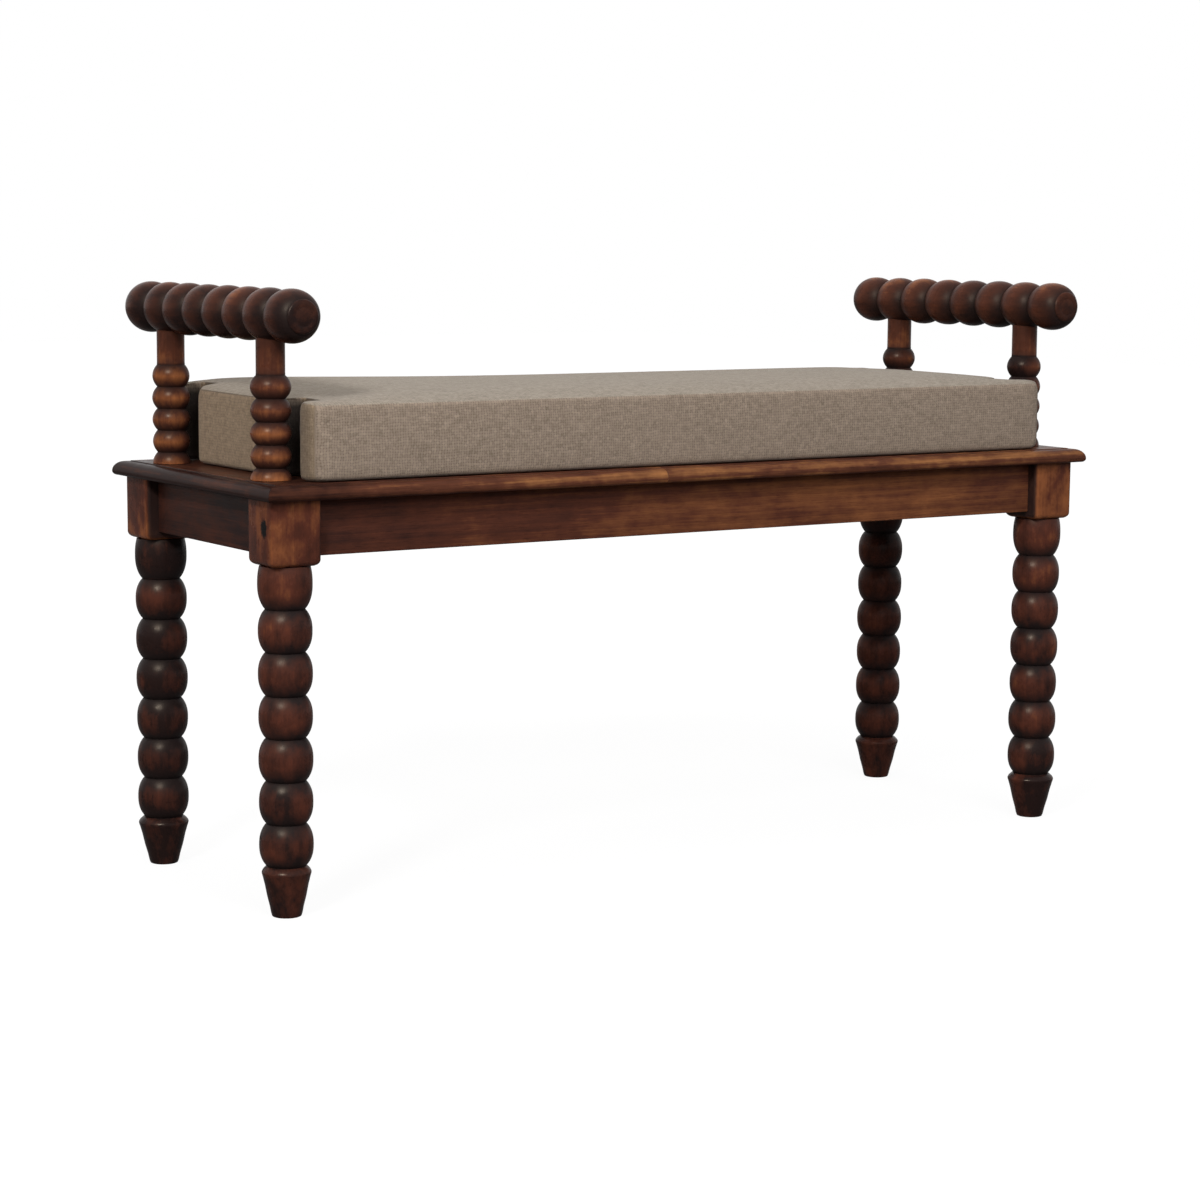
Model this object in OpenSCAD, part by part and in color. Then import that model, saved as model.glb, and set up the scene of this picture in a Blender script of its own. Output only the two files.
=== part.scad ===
// Window bench: four turned legs under a moulded seat board, a turned rail on two turned posts
// at each end, and a loose box cushion whose ends are notched round the posts.
// X runs along the bench, -Y is the front and +Z is up. The origin is on the floor, under the
// middle of the seat. All sizes are in millimetres.

/* [Seat board] */
// Length of the seat board, over its moulded edge
board_length = 1000; // [820:5:1300]
// Depth of the seat board, over its moulded edge
board_depth = 352; // [335:1:400]
// Height of the seat board's top face above the floor
seat_height = 413; // [380:1:460]
// Thickness of the seat board
board_thickness = 15; // [13:0.5:22]
// Width of the mitred rails that frame the seat board
border_width = 70; // [64:1:85]
// Width of the rounded moulding along the outer edge
moulding_width = 14; // [10:0.5:17]
// Step between the flat top and the moulding
moulding_step = 0.8; // [0.4:0.1:1.5]
// Height of the moulding's nose above the underside
moulding_nose = 4; // [2.5:0.5:5]
// Where the two lengths of the front rail meet, from the middle of the bench
front_joint_x = -56; // [-200:2:200]

/* [Seat panel] */
// Length of the tongues on the panel boards
tongue_length = 8; // [5:0.5:10]
// Thickness of the tongues on the panel boards
tongue_thickness = 5; // [3:0.5:7]

/* [Legs] */
// Side of the square block at the head of a leg
leg_block = 52; // [46:1:60]
// Height of the block below the seat board
leg_block_height = 62.5; // [56:0.5:75]
// How far the board's edge stands out past the leg blocks at the two ends
overhang_end = 9.5; // [6:0.5:16]
// How far the board's edge stands out past the leg blocks at the front and the back
overhang_side = 12; // [6:0.5:18]
// Rounding of the block's upright edges
block_edge_round = 4; // [1:0.5:6]
// Rounding of the block's lower edges
block_foot_round = 6; // [2:0.5:8]
// Diameter of the leg's beads
leg_bead_d = 52; // [44:0.5:56]
// Diameter of the leg in the grooves between the beads
leg_groove_d = 37.8; // [28:0.2:39.4]
// Number of full beads between the head bead and the foot
leg_beads = 6; // [4:1:8]
// Height of the larger bead under the block
head_bead_height = 41.5; // [32:0.5:50]
// How far the widest line of the head bead lies below the block
head_bead_centre = 17.5; // [12:0.5:24]
// How much all turned beads are flattened at their widest line
bead_flat = 0.3; // [0.1:0.1:0.8]

/* [Feet] */
// Height of the tapered foot
foot_height = 49; // [35:1:70]
// Diameter of the rim at the top of the foot
foot_rim_d = 50.6; // [43:0.2:56]
// Diameter of the foot's neck, under the lowest bead
foot_neck_d = 40; // [38.4:0.2:42]
// Height of the sloping shoulder above the rim
foot_shoulder = 6.5; // [3:0.5:12]
// Diameter of the foot where it meets the floor
foot_tip_d = 28.8; // [20:0.2:40]
// Easing of the foot's lowest edge
foot_tip_easing = 1.5; // [0.5:0.1:3]

/* [Aprons] */
// Height of the aprons below the seat board
apron_height = 54; // [45:0.5:60]
// Thickness of the aprons
apron_thickness = 20; // [16:0.5:24]
// How far the aprons' outer faces stand back from the faces of the leg blocks
apron_setback = 12; // [6:0.5:14]
// Length of the tenons at the ends of the aprons
tenon_length = 17; // [12:0.5:20]
// Thickness of the tenons
tenon_thickness = 9; // [6:0.5:12]
// Height of the tenons
tenon_height = 40; // [30:1:44]

/* [Corner braces] */
// Length of a corner brace along each apron
brace_leg = 95; // [85:1:110]
// Thickness of a corner brace
brace_thickness = 18; // [14:0.5:22]
// Height of a corner brace
brace_height = 40; // [30:1:44]
// Diameter of a wood screw's shank
screw_d = 4; // [3:0.5:5]
// Diameter of a wood screw's head
screw_head_d = 8; // [6:0.5:10]
// Length of a wood screw, with its head
screw_length = 25; // [22:1:28]
// Height of a wood screw's head
screw_head_height = 2.6; // [2:0.2:4]
// How far a screw reaches into an apron
apron_bite = 15; // [12:0.5:15]
// How far a screw reaches into the seat panel
panel_bite = 11; // [8:0.5:12]

/* [Arms] */
// Height of an arm rail's axis above the seat board
rail_rise = 155; // [140:1:200]
// How far the ends of the arm rails stand in from the long edges of the seat board
rail_setback = 0; // [0:0.5:10]
// Number of beads along the arm rail
rail_beads = 8; // [6:1:8]
// Diameter of the arm rail's beads
rail_bead_d = 51.6; // [46:0.2:56]
// Diameter of the arm rail in the grooves between the beads
rail_groove_d = 31.4; // [28:0.2:36]
// Diameter of the turned button on each end of the arm rail
button_d = 33; // [16:0.5:38]
// How far the button stands out of the end of the rail
button_height = 2.5; // [1:0.1:4]
// How far the posts stand in from the board's ends
post_inset = 36; // [34:0.5:44]
// Diameter of the posts' beads
post_bead_d = 38; // [34:0.2:42]
// Diameter of a post in the grooves between the beads
post_groove_d = 28; // [24:0.2:31]
// Number of full beads on a post
post_beads = 4; // [3:1:4]
// Length of one bead on a post
post_pitch = 21.8; // [18:0.2:24]
// Height of the half bead that a post stands on
post_base_height = 11.4; // [9:0.2:14]
// Diameter of the plain column above the post's beads
column_d = 27.6; // [22:0.2:29]
// How far the column reaches into the rail, past the rail's lowest line
column_depth = 20; // [12:0.5:24]
// Diameter of the tenon at the foot of a post
post_tenon_d = 18; // [12:0.5:22]
// Length of the tenon at the foot of a post
post_tenon_length = 11; // [8:0.5:12]

/* [Cushion] */
// How far the cushion's ends stand in from the ends of the seat board
cushion_end_inset = 57; // [56:0.5:80]
// How far the cushion's long sides stand in from the long edges of the seat board
cushion_side_inset = 13; // [4:0.5:16]
// Height of the cushion at its edge
cushion_height = 78.5; // [55:0.5:90]
// How far the top rises from its edge to its middle
cushion_crown = 3; // [2:0.5:12]
// How far the long sides are drawn in at the middle of the bench
side_draw = 2.5; // [0:0.5:6]
// How far the ends are drawn in at their middle
end_draw = 1; // [0:0.5:4]
// How far the boxing bulges at half its height
boxing_bulge = 1.5; // [0.5:0.5:4]
// Rounding of the cushion's corners, seen from above
corner_round = 16; // [12:1:30]
// Rounding of the top edges
top_round = 6; // [4:0.5:12]
// Rounding of the bottom edges
bottom_round = 6; // [3:0.5:10]
// Room between a post's beads and the sides of its notch
notch_room = 3; // [2:0.5:8]
// Room between a post's beads and the back of its notch
notch_back_room = 25; // [16:1:40]
// Thickness of the cover and its wadding over the foam
cover_thickness = 4; // [3:0.5:8]

/* [Clearances] */
// Gap round tenons, tongues and screws in their holes
joint_gap = 0.1; // [0.05:0.05:0.3]
// Gap under the cushion
cushion_gap = 0.3; // [0.2:0.1:1]

/* [Hidden] */
$fn = 72;

// Overlap that fuses two shapes, or carries a cut past a face
overlap = 1;

walnut = [0.33, 0.18, 0.11];
chestnut = [0.42, 0.25, 0.15];
raw_wood = [0.62, 0.46, 0.30];
linen = [0.63, 0.57, 0.49];
foam = [0.88, 0.85, 0.72];
steel = [0.66, 0.66, 0.66];

// Seat board
board_underside = seat_height - board_thickness;
half_length = board_length / 2;
half_depth = board_depth / 2;
panel_half_length = half_length - border_width;
panel_half_depth = half_depth - border_width;
panel_boards = 3;
panel_board_width = 2 * panel_half_depth / panel_boards;
tongue_low = (board_thickness - tongue_thickness) / 2;
moulding_top = board_thickness - moulding_step;
upper_round = min(moulding_top - moulding_nose, moulding_width);

// Legs
leg_x = half_length - overhang_end - leg_block / 2;
leg_y = half_depth - overhang_side - leg_block / 2;
block_bottom = board_underside - leg_block_height;
first_groove = block_bottom - head_bead_height;
leg_pitch = (first_groove - foot_height) / leg_beads;
leg_bead_r = leg_bead_d / 2;
leg_groove_r = leg_groove_d / 2;
leg_core_r = leg_groove_r / 2;
leg_core_top = block_bottom + leg_block / 4;

// Aprons, with their faces measured from the middle of the bench
apron_bottom = board_underside - apron_height;
apron_front_y = leg_y + leg_block / 2 - apron_setback;
apron_end_x = leg_x + leg_block / 2 - apron_setback;
apron_run_x = leg_x - leg_block / 2;
apron_run_y = leg_y - leg_block / 2;
tenon_bottom = apron_bottom + (apron_height - tenon_height) / 2;

// Corner braces, measured from the corner where the aprons' inner faces would meet
corner_x = apron_end_x - apron_thickness;
corner_y = apron_front_y - apron_thickness;
brace_bottom = board_underside - brace_height;
brace_near = brace_leg - brace_thickness * sqrt(2);
brace_screw_at = (brace_near + brace_leg) / 2;
brace_screw_z = brace_bottom + brace_height / 2;
brace_middle = (brace_near + brace_leg) / 4;
screw_hole_d = screw_d + 2 * joint_gap;
screw_tip_d = screw_d / 5;
seat_screw_start = board_underside + panel_bite - screw_length;

// Arms
rail_half = half_depth - rail_setback;
rail_pitch = 2 * rail_half / rail_beads;
rail_z = seat_height + rail_rise;
rail_bead_r = rail_bead_d / 2;
rail_groove_r = rail_groove_d / 2;
rail_core_half = rail_half + button_height / 2;
post_x = half_length - post_inset;
post_y = rail_half - 1.5 * rail_pitch;
post_bead_r = post_bead_d / 2;
post_groove_r = post_groove_d / 2;
post_top_groove = seat_height + post_base_height + post_beads * post_pitch;
column_top = rail_z - rail_bead_r + column_depth;
post_core_r = post_groove_r / 2;

// Cushion
cushion_low = seat_height + cushion_gap;
cushion_half_x = half_length - cushion_end_inset;
cushion_half_y = half_depth - cushion_side_inset;
notch_half = post_bead_r + notch_room;
notch_back_x = post_x - post_bead_r - notch_back_room;
least_corner = 2;
corner_steps = 4;
long_steps = 16;
short_steps = 6;
// Share of a rounding's radius that lies beyond the middle of its arc
arc_share = 1 - sqrt(0.5);
// Half the width of the ring nearest the middle of the top
ridge_half = 12;
// Places of the rings on the top, from 0 at its edge to 1 at the ridge
top_places = [0, 0.15, 0.4, 0.7, 1];

// Puts a shape that is drawn at the rear right corner at another corner of the bench
module to_corner(side, back) {
    mirror([side < 0 ? 1 : 0, 0, 0])
        mirror([0, back < 0 ? 1 : 0, 0])
            children();
}

// Radius of the arc that bulges past radius r by bead_flat and falls to radius groove over rise
function bead_curve(r, groove, rise) =
    let (drop = r + bead_flat - groove)
    (pow(rise, 2) + pow(drop, 2)) / (2 * drop);

// Half outline of one turned bead, widest at height z, where it is cut straight at radius r
module bead_outline(r, curve, z, low, high) {
    intersection() {
        translate([r + bead_flat - curve, z]) circle(r = curve);
        translate([0, low]) square([r, high - low]);
    }
}

// Half outline of a row of equal beads that starts at height low
module bead_row(r, groove, pitch, count, low) {
    for (i = [0 : count - 1]) {
        base = low + i * pitch;
        bead_outline(r, bead_curve(r, groove, pitch / 2), base + pitch / 2, base, base + pitch);
    }
}

// A square with round corners, centred on the origin
module round_square(side, r) {
    square([side - 2 * r, side], center = true);
    square([side, side - 2 * r], center = true);
    for (x = [-1, 1]) {
        for (y = [-1, 1]) {
            translate([x * (side / 2 - r), y * (side / 2 - r)]) circle(r = r);
        }
    }
}

// The face of a leg block, seen level: its two lower corners are round
module block_face(side, height, r) {
    translate([-side / 2, r]) square([side, height - r]);
    translate([-side / 2 + r, 0]) square([side - 2 * r, r]);
    for (x = [-1, 1]) {
        translate([x * (side / 2 - r), r]) circle(r = r);
    }
}

module leg_block_solid() {
    translate([0, 0, block_bottom]) {
        intersection() {
            linear_extrude(leg_block_height) round_square(leg_block, block_edge_round);
            translate([0, leg_block / 2, 0])
                rotate([90, 0, 0])
                    linear_extrude(leg_block) block_face(leg_block, leg_block_height, block_foot_round);
            translate([-leg_block / 2, 0, 0])
                rotate([90, 0, 90])
                    linear_extrude(leg_block) block_face(leg_block, leg_block_height, block_foot_round);
        }
    }
}

module foot_outline() {
    rim_z = foot_height - foot_shoulder;
    polygon([
        [0, 0],
        [foot_tip_d / 2 - foot_tip_easing, 0],
        [foot_tip_d / 2, foot_tip_easing],
        [foot_rim_d / 2, rim_z],
        [foot_neck_d / 2, foot_height],
        [0, foot_height]
    ]);
}

// The turned part of a leg, with a core that runs on into the block
module leg_turning() {
    rotate_extrude() {
        foot_outline();
        bead_row(leg_bead_r, leg_groove_r, leg_pitch, leg_beads, foot_height);
        bead_outline(leg_bead_r, bead_curve(leg_bead_r, leg_groove_r, head_bead_height - head_bead_centre),
            block_bottom - head_bead_centre, first_groove, block_bottom);
        translate([0, foot_height / 2])
            square([leg_core_r, leg_core_top - foot_height / 2]);
    }
}

// The two mortises of the leg at the rear right corner
module leg_mortises() {
    deep = tenon_length + 2 * joint_gap;
    wide = tenon_thickness + 2 * joint_gap;
    high = tenon_height + 2 * joint_gap;
    middle_y = apron_front_y - apron_thickness / 2;
    middle_x = apron_end_x - apron_thickness / 2;
    translate([apron_run_x - joint_gap, middle_y - wide / 2, tenon_bottom - joint_gap])
        cube([deep, wide, high]);
    translate([middle_x - wide / 2, apron_run_y - joint_gap, tenon_bottom - joint_gap])
        cube([wide, deep, high]);
}

module leg(side, back) {
    color(walnut) to_corner(side, back) difference() {
        translate([leg_x, leg_y, 0]) {
            leg_block_solid();
            leg_turning();
        }
        leg_mortises();
    }
}

// An apron board that runs along X, with its outer face at y = 0 and its body behind it
module apron_board(run) {
    translate([-run, 0, apron_bottom]) cube([2 * run, apron_thickness, apron_height]);
    translate([-run - tenon_length, (apron_thickness - tenon_thickness) / 2, tenon_bottom])
        cube([2 * (run + tenon_length), tenon_thickness, tenon_height]);
}

// Holes in the aprons for the screws that come through the braces
module apron_pilots() {
    for (side = [-1, 1]) {
        for (back = [-1, 1]) {
            to_corner(side, back) at_brace_screws() screw_shank_hole();
        }
    }
}

module apron_long(back) {
    color(walnut) difference() {
        to_corner(1, back) translate([0, apron_front_y, 0]) mirror([0, 1, 0]) apron_board(apron_run_x);
        apron_pilots();
    }
}

module apron_end(side) {
    color(walnut) difference() {
        to_corner(side, 1)
            translate([apron_end_x, 0, 0]) rotate([0, 0, 90]) apron_board(apron_run_y);
        apron_pilots();
    }
}

// One wood screw along +Z, with the face of its head at 0 and its point at screw_length
module wood_screw() {
    taper_start = screw_length - screw_d;
    cylinder(h = screw_head_height, d1 = screw_head_d, d2 = screw_d);
    cylinder(h = taper_start, d = screw_d);
    translate([0, 0, taper_start]) cylinder(h = screw_d, d1 = screw_d, d2 = screw_tip_d);
}

module screw_shank_hole() {
    cylinder(h = screw_length + joint_gap, d = screw_hole_d);
}

// The shank's hole, with a wider one behind it for the head and the driver
module screw_head_hole() {
    screw_shank_hole();
    translate([0, 0, -brace_leg])
        cylinder(h = brace_leg + screw_head_height, d = screw_head_d + 2 * joint_gap);
}

// Places a screw, or its hole, across each apron at the rear right corner
module at_brace_screws() {
    start = screw_length - apron_bite;
    translate([corner_x - brace_screw_at, corner_y - start, brace_screw_z])
        rotate([-90, 0, 0]) children();
    translate([corner_x - start, corner_y - brace_screw_at, brace_screw_z])
        rotate([0, 90, 0]) children();
}

// Places the screw, or its hole, that runs up through the brace into the seat panel
module at_seat_screw() {
    translate([corner_x - brace_middle, corner_y - brace_middle, seat_screw_start]) children();
}

module corner_brace(side, back) {
    color(raw_wood) to_corner(side, back) difference() {
        translate([corner_x, corner_y, brace_bottom])
            rotate([0, 0, 180])
                linear_extrude(brace_height)
                    polygon([[brace_near, 0], [brace_leg, 0], [0, brace_leg], [0, brace_near]]);
        at_brace_screws() screw_head_hole();
        at_seat_screw() screw_head_hole();
    }
}

module brace_screws() {
    color(steel) for (side = [-1, 1]) {
        for (back = [-1, 1]) {
            to_corner(side, back) at_brace_screws() wood_screw();
        }
    }
}

module seat_screws() {
    color(steel) for (side = [-1, 1]) {
        for (back = [-1, 1]) {
            to_corner(side, back) at_seat_screw() wood_screw();
        }
    }
}

// Pilot holes in the seat panel for the screws that come up through the braces
module seat_pilots() {
    for (side = [-1, 1]) {
        for (back = [-1, 1]) {
            to_corner(side, back) at_seat_screw() screw_shank_hole();
        }
    }
}

// What a rounding of radius r takes off a corner at the origin
module corner_waste(r) {
    difference() {
        translate([-overlap, -overlap]) square(r + overlap);
        translate([r, r]) circle(r = r);
    }
}

// Section of a border rail: its nose is at x = 0, its inner edge at border_width, its underside at y = 0
module border_section() {
    difference() {
        union() {
            square([border_width, moulding_top]);
            translate([moulding_width, 0])
                square([border_width - moulding_width, board_thickness]);
        }
        corner_waste(moulding_nose);
        translate([0, moulding_top]) mirror([0, 1]) corner_waste(upper_round);
        translate([border_width - tongue_length - joint_gap, tongue_low - joint_gap])
            square([tongue_length + overlap, tongue_thickness + 2 * joint_gap]);
    }
}

// A border rail along X with mitred ends, its nose on y = 0 and its inner edge towards +Y
module border_rail(length) {
    intersection() {
        translate([-length / 2, 0, 0])
            rotate([90, 0, 90]) linear_extrude(length) border_section();
        linear_extrude(board_thickness) polygon([
            [-length / 2, 0],
            [length / 2, 0],
            [length / 2 - border_width, border_width],
            [-length / 2 + border_width, border_width]
        ]);
    }
}

module border_rail_long() {
    translate([0, -half_depth, board_underside]) border_rail(board_length);
}

module border_rail_front(side) {
    cut = side < 0 ? -half_length : front_joint_x;
    run = side < 0 ? front_joint_x + half_length : half_length - front_joint_x;
    color(chestnut) intersection() {
        border_rail_long();
        translate([cut, -half_depth, board_underside]) cube([run, border_width, board_thickness]);
    }
}

module border_rail_rear() {
    color(chestnut) mirror([0, 1, 0]) border_rail_long();
}

module border_rail_end(side) {
    color(chestnut) to_corner(side, 1) difference() {
        rotate([0, 0, 90])
            translate([0, -half_length, board_underside]) border_rail(board_depth);
        for (y = [-post_y, post_y]) {
            translate([post_x, y, seat_height - post_tenon_length - joint_gap])
                cylinder(h = board_thickness, d = post_tenon_d + 2 * joint_gap);
        }
    }
}

// One board of the seat panel; place counts from 0 at the front
module panel_board(place) {
    low = -panel_half_depth + place * panel_board_width;
    tongue_z = board_underside + tongue_low;
    first = place == 0;
    color(chestnut) difference() {
        union() {
            translate([-panel_half_length, low, board_underside])
                cube([2 * panel_half_length, panel_board_width, board_thickness]);
            translate([-panel_half_length - tongue_length, low, tongue_z])
                cube([2 * (panel_half_length + tongue_length), panel_board_width, tongue_thickness]);
            translate([-panel_half_length, low + panel_board_width, tongue_z])
                cube([2 * panel_half_length, tongue_length, tongue_thickness]);
            if (first) {
                translate([-panel_half_length, low - tongue_length, tongue_z])
                    cube([2 * panel_half_length, tongue_length, tongue_thickness]);
            }
        }
        if (!first) {
            translate([-half_length, low - overlap, tongue_z - joint_gap])
                cube([board_length, tongue_length + overlap + joint_gap, tongue_thickness + 2 * joint_gap]);
        }
        seat_pilots();
    }
}

// A post stands on its half bead, carries its row of beads and runs up into the rail
module arm_post(side, back) {
    row_start = seat_height + post_base_height;
    color(chestnut) to_corner(side, back) translate([post_x, post_y, 0]) rotate_extrude() {
        translate([0, seat_height - post_tenon_length])
            square([post_tenon_d / 2, post_tenon_length + post_base_height]);
        bead_outline(post_bead_r, bead_curve(post_bead_r, post_groove_r, post_pitch / 2),
            row_start - post_pitch / 2, seat_height, row_start);
        bead_row(post_bead_r, post_groove_r, post_pitch, post_beads, row_start);
        translate([0, seat_height])
            square([post_core_r, column_top - seat_height]);
        translate([0, post_top_groove - overlap])
            square([column_d / 2, column_top - post_top_groove + overlap]);
    }
}

// Half outline of the button on the end of a rail: a shallow dome on a flat end
module button_outline() {
    button_r = button_d / 2;
    dome = (pow(button_r, 2) + pow(button_height, 2)) / (2 * button_height);
    intersection() {
        translate([0, rail_half + button_height - dome]) circle(r = dome);
        translate([0, rail_half]) square([button_r, button_height]);
    }
}

module arm_rail(side) {
    color(walnut) to_corner(side, 1) difference() {
        translate([post_x, 0, rail_z]) rotate([90, 0, 0]) rotate_extrude() {
            translate([0, -rail_core_half]) square([rail_groove_r / 2, 2 * rail_core_half]);
            bead_row(rail_bead_r, rail_groove_r, rail_pitch, rail_beads, -rail_half);
            button_outline();
            mirror([0, 1]) button_outline();
        }
        for (y = [-post_y, post_y]) {
            translate([post_x, y, rail_z - 2 * rail_bead_r])
                cylinder(h = column_top + joint_gap - rail_z + 2 * rail_bead_r, d = column_d + 2 * joint_gap);
        }
    }
}

// Corner arc of the cushion's plan, for a ring that is set in by inset
function corner_arc(side, back, start, inset) =
    let (r = max(corner_round - inset, least_corner),
         x = side * (cushion_half_x - inset - r),
         y = back * (cushion_half_y - inset - r))
    [for (k = [0 : corner_steps]) let (a = start + 90 * k / corner_steps) [x + r * cos(a), y + r * sin(a)]];

// The points between two corners, without the corners themselves
function between(a, b, steps) = [for (k = [1 : steps - 1]) a + (b - a) * k / steps];

// Plan of one ring of the cushion, set in by inset
function ring(inset) =
    let (a = corner_arc(1, 1, 0, inset), b = corner_arc(-1, 1, 90, inset),
         c = corner_arc(-1, -1, 180, inset), d = corner_arc(1, -1, 270, inset))
    concat(a, between(a[corner_steps], b[0], long_steps),
           b, between(b[corner_steps], c[0], short_steps),
           c, between(c[corner_steps], d[0], long_steps),
           d, between(d[corner_steps], a[0], short_steps));

// Draws the sides in between the corners
function drawn_in(p) =
    let (u = p.x / cushion_half_x, v = p.y / cushion_half_y)
    [p.x - end_draw * u * (1 - v * v), p.y - side_draw * v * (1 - u * u)];

// Rise of the top above its edge
function crown(p) =
    let (u = p.x / cushion_half_x, v = p.y / cushion_half_y)
    cushion_crown * (1 - pow(u, 4)) * (1 - v * v);

// One ring of points; share is how much of the crown they take
function ring_points(inset, z, share) =
    [for (p = ring(inset)) let (q = drawn_in(p)) [q.x, q.y, z + share * crown(p)]];

// Inset, height and share of the crown of each ring, from the flat underside up to the ridge
rings = concat(
    [[bottom_round, 0, 0],
     [bottom_round * arc_share, bottom_round * arc_share, 0],
     [0, bottom_round, 0],
     [-boxing_bulge, cushion_height / 2, 0],
     [0, cushion_height - top_round, 0],
     [top_round * arc_share, cushion_height - top_round * arc_share, 0]],
    [for (t = top_places) [top_round + t * (cushion_half_y - ridge_half - top_round), cushion_height, 1]]
);

// The cushion without its notches
module cushion_form() {
    count = len(ring(0));
    points = [for (r = rings) each ring_points(r[0], r[1], r[2])];
    last = (len(rings) - 1) * count;
    middles = [[0, 0, 0], [0, 0, cushion_height + cushion_crown]];
    low_middle = len(points);
    high_middle = low_middle + 1;
    sides = [for (k = [0 : len(rings) - 2]) for (i = [0 : count - 1])
        let (j = (i + 1) % count, low = k * count, high = low + count)
        each [[low + i, high + i, high + j], [low + i, high + j, low + j]]];
    under = [for (i = [0 : count - 1]) [i, (i + 1) % count, low_middle]];
    lid = [for (i = [0 : count - 1]) [last + (i + 1) % count, last + i, high_middle]];
    translate([0, 0, cushion_low]) polyhedron(concat(points, middles), concat(sides, under, lid));
}

// The four notches round the posts, grown by margin into the cushion
module cushion_notches(margin) {
    back_x = notch_back_x - margin;
    half = notch_half + margin;
    for (side = [-1, 1]) {
        for (back = [-1, 1]) {
            to_corner(side, back)
                translate([back_x, post_y - half, seat_height])
                    cube([half_length - back_x, 2 * half, cushion_height + cushion_crown + overlap]);
        }
    }
}

// The foam, whose upright edges follow the rounding of the cover's corners
module foam_block() {
    half_x = cushion_half_x - cover_thickness - end_draw;
    half_y = cushion_half_y - cover_thickness - side_draw;
    edge = corner_round - cover_thickness;
    difference() {
        translate([0, 0, cushion_low + cover_thickness])
            linear_extrude(cushion_height - 2 * cover_thickness) {
                square([2 * half_x, 2 * (half_y - edge)], center = true);
                square([2 * (half_x - edge), 2 * half_y], center = true);
                for (x = [-1, 1]) {
                    for (y = [-1, 1]) {
                        translate([x * (half_x - edge), y * (half_y - edge)]) circle(r = edge);
                    }
                }
            }
        cushion_notches(cover_thickness);
    }
}

module cushion_foam() {
    color(foam) foam_block();
}

module cushion_cover() {
    color(linen) difference() {
        cushion_form();
        cushion_notches(0);
        foam_block();
    }
}

leg(-1, -1);  // leg_front_left
leg(1, -1);  // leg_front_right
leg(-1, 1);  // leg_rear_left
leg(1, 1);  // leg_rear_right
apron_long(-1);  // apron_front
apron_long(1);  // apron_rear
apron_end(-1);  // apron_left
apron_end(1);  // apron_right
corner_brace(-1, -1);  // corner_brace_front_left
corner_brace(1, -1);  // corner_brace_front_right
corner_brace(-1, 1);  // corner_brace_rear_left
corner_brace(1, 1);  // corner_brace_rear_right
brace_screws();
seat_screws();
border_rail_front(-1);  // border_rail_front_left
border_rail_front(1);  // border_rail_front_right
border_rail_rear();
border_rail_end(-1);  // border_rail_left
border_rail_end(1);  // border_rail_right
panel_board(0);  // panel_board_front
panel_board(1);  // panel_board_middle
panel_board(2);  // panel_board_rear
arm_post(-1, -1);  // arm_post_front_left
arm_post(1, -1);  // arm_post_front_right
arm_post(-1, 1);  // arm_post_rear_left
arm_post(1, 1);  // arm_post_rear_right
arm_rail(-1);  // arm_rail_left
arm_rail(1);  // arm_rail_right
cushion_foam();
cushion_cover();
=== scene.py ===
# %% [markdown]
# # A window bench with a loose cushion
# This file dresses a small bench that stands under a window: four turned legs, a moulded seat
# board, a turned rail on two turned posts at each end, and a box cushion in coarse linen.
# The hard parts come from a CAD model, which gives every size. They could be shown as they are,
# but they are cleaner than real wood and carry no grain. So each part that shows is made again
# here with a finer mesh, and gets a wood or a cloth made only of shader nodes.

# %% Load the model and note its size
import bpy
import bmesh
import math
import random
import numpy as np
from mathutils import Matrix, Vector


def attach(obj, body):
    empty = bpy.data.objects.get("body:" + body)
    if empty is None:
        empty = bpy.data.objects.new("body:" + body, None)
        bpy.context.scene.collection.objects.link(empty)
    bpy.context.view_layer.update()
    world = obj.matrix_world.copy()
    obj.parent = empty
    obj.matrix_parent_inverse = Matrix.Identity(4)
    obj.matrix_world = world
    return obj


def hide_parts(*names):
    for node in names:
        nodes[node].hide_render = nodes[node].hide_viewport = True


MM = 0.001
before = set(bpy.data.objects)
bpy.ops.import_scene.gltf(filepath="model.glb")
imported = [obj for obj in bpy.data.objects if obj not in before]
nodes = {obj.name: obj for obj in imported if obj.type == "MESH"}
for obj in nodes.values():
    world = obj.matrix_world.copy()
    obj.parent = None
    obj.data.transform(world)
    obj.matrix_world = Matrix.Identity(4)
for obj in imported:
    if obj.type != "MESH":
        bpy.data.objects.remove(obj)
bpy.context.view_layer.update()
scene = bpy.context.scene

# %% [markdown]
# ## The camera
# The photograph looks down a little on the front of the bench, from the left. A camera could be
# aimed with a Track To constraint, but the photograph is also turned a hair about its own middle.
# So the camera gets a place and three angles. The three directions of its picture are worked out
# from them, and put together as one matrix.

# %% Camera
EYE = Vector((-1.7158, -2.5999, 0.6583))
YAW, PITCH, ROLL = 0.5774, 0.1281, 0.0076
FILM_WIDTH, FOCAL_LENGTH = 36, 88.58

forward = Vector((math.sin(YAW) * math.cos(PITCH), math.cos(YAW) * math.cos(PITCH),
                  -math.sin(PITCH)))
level = Vector((math.cos(YAW), -math.sin(YAW), 0))
upright = level.cross(forward)
right = math.cos(ROLL) * level + math.sin(ROLL) * upright
up = math.cos(ROLL) * upright - math.sin(ROLL) * level
aim = Matrix((right, up, -forward)).transposed().to_4x4()

lens = bpy.data.cameras.new("camera")
lens.sensor_width = FILM_WIDTH
lens.lens = FOCAL_LENGTH
camera = bpy.data.objects.new("camera", lens)
scene.collection.objects.link(camera)
camera.matrix_world = Matrix.Translation(EYE) @ aim
scene.camera = camera
scene.view_settings.view_transform = "Standard"
print("the camera stands at", tuple(round(v, 3) for v in EYE), "with a", FOCAL_LENGTH, "mm lens")

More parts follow.
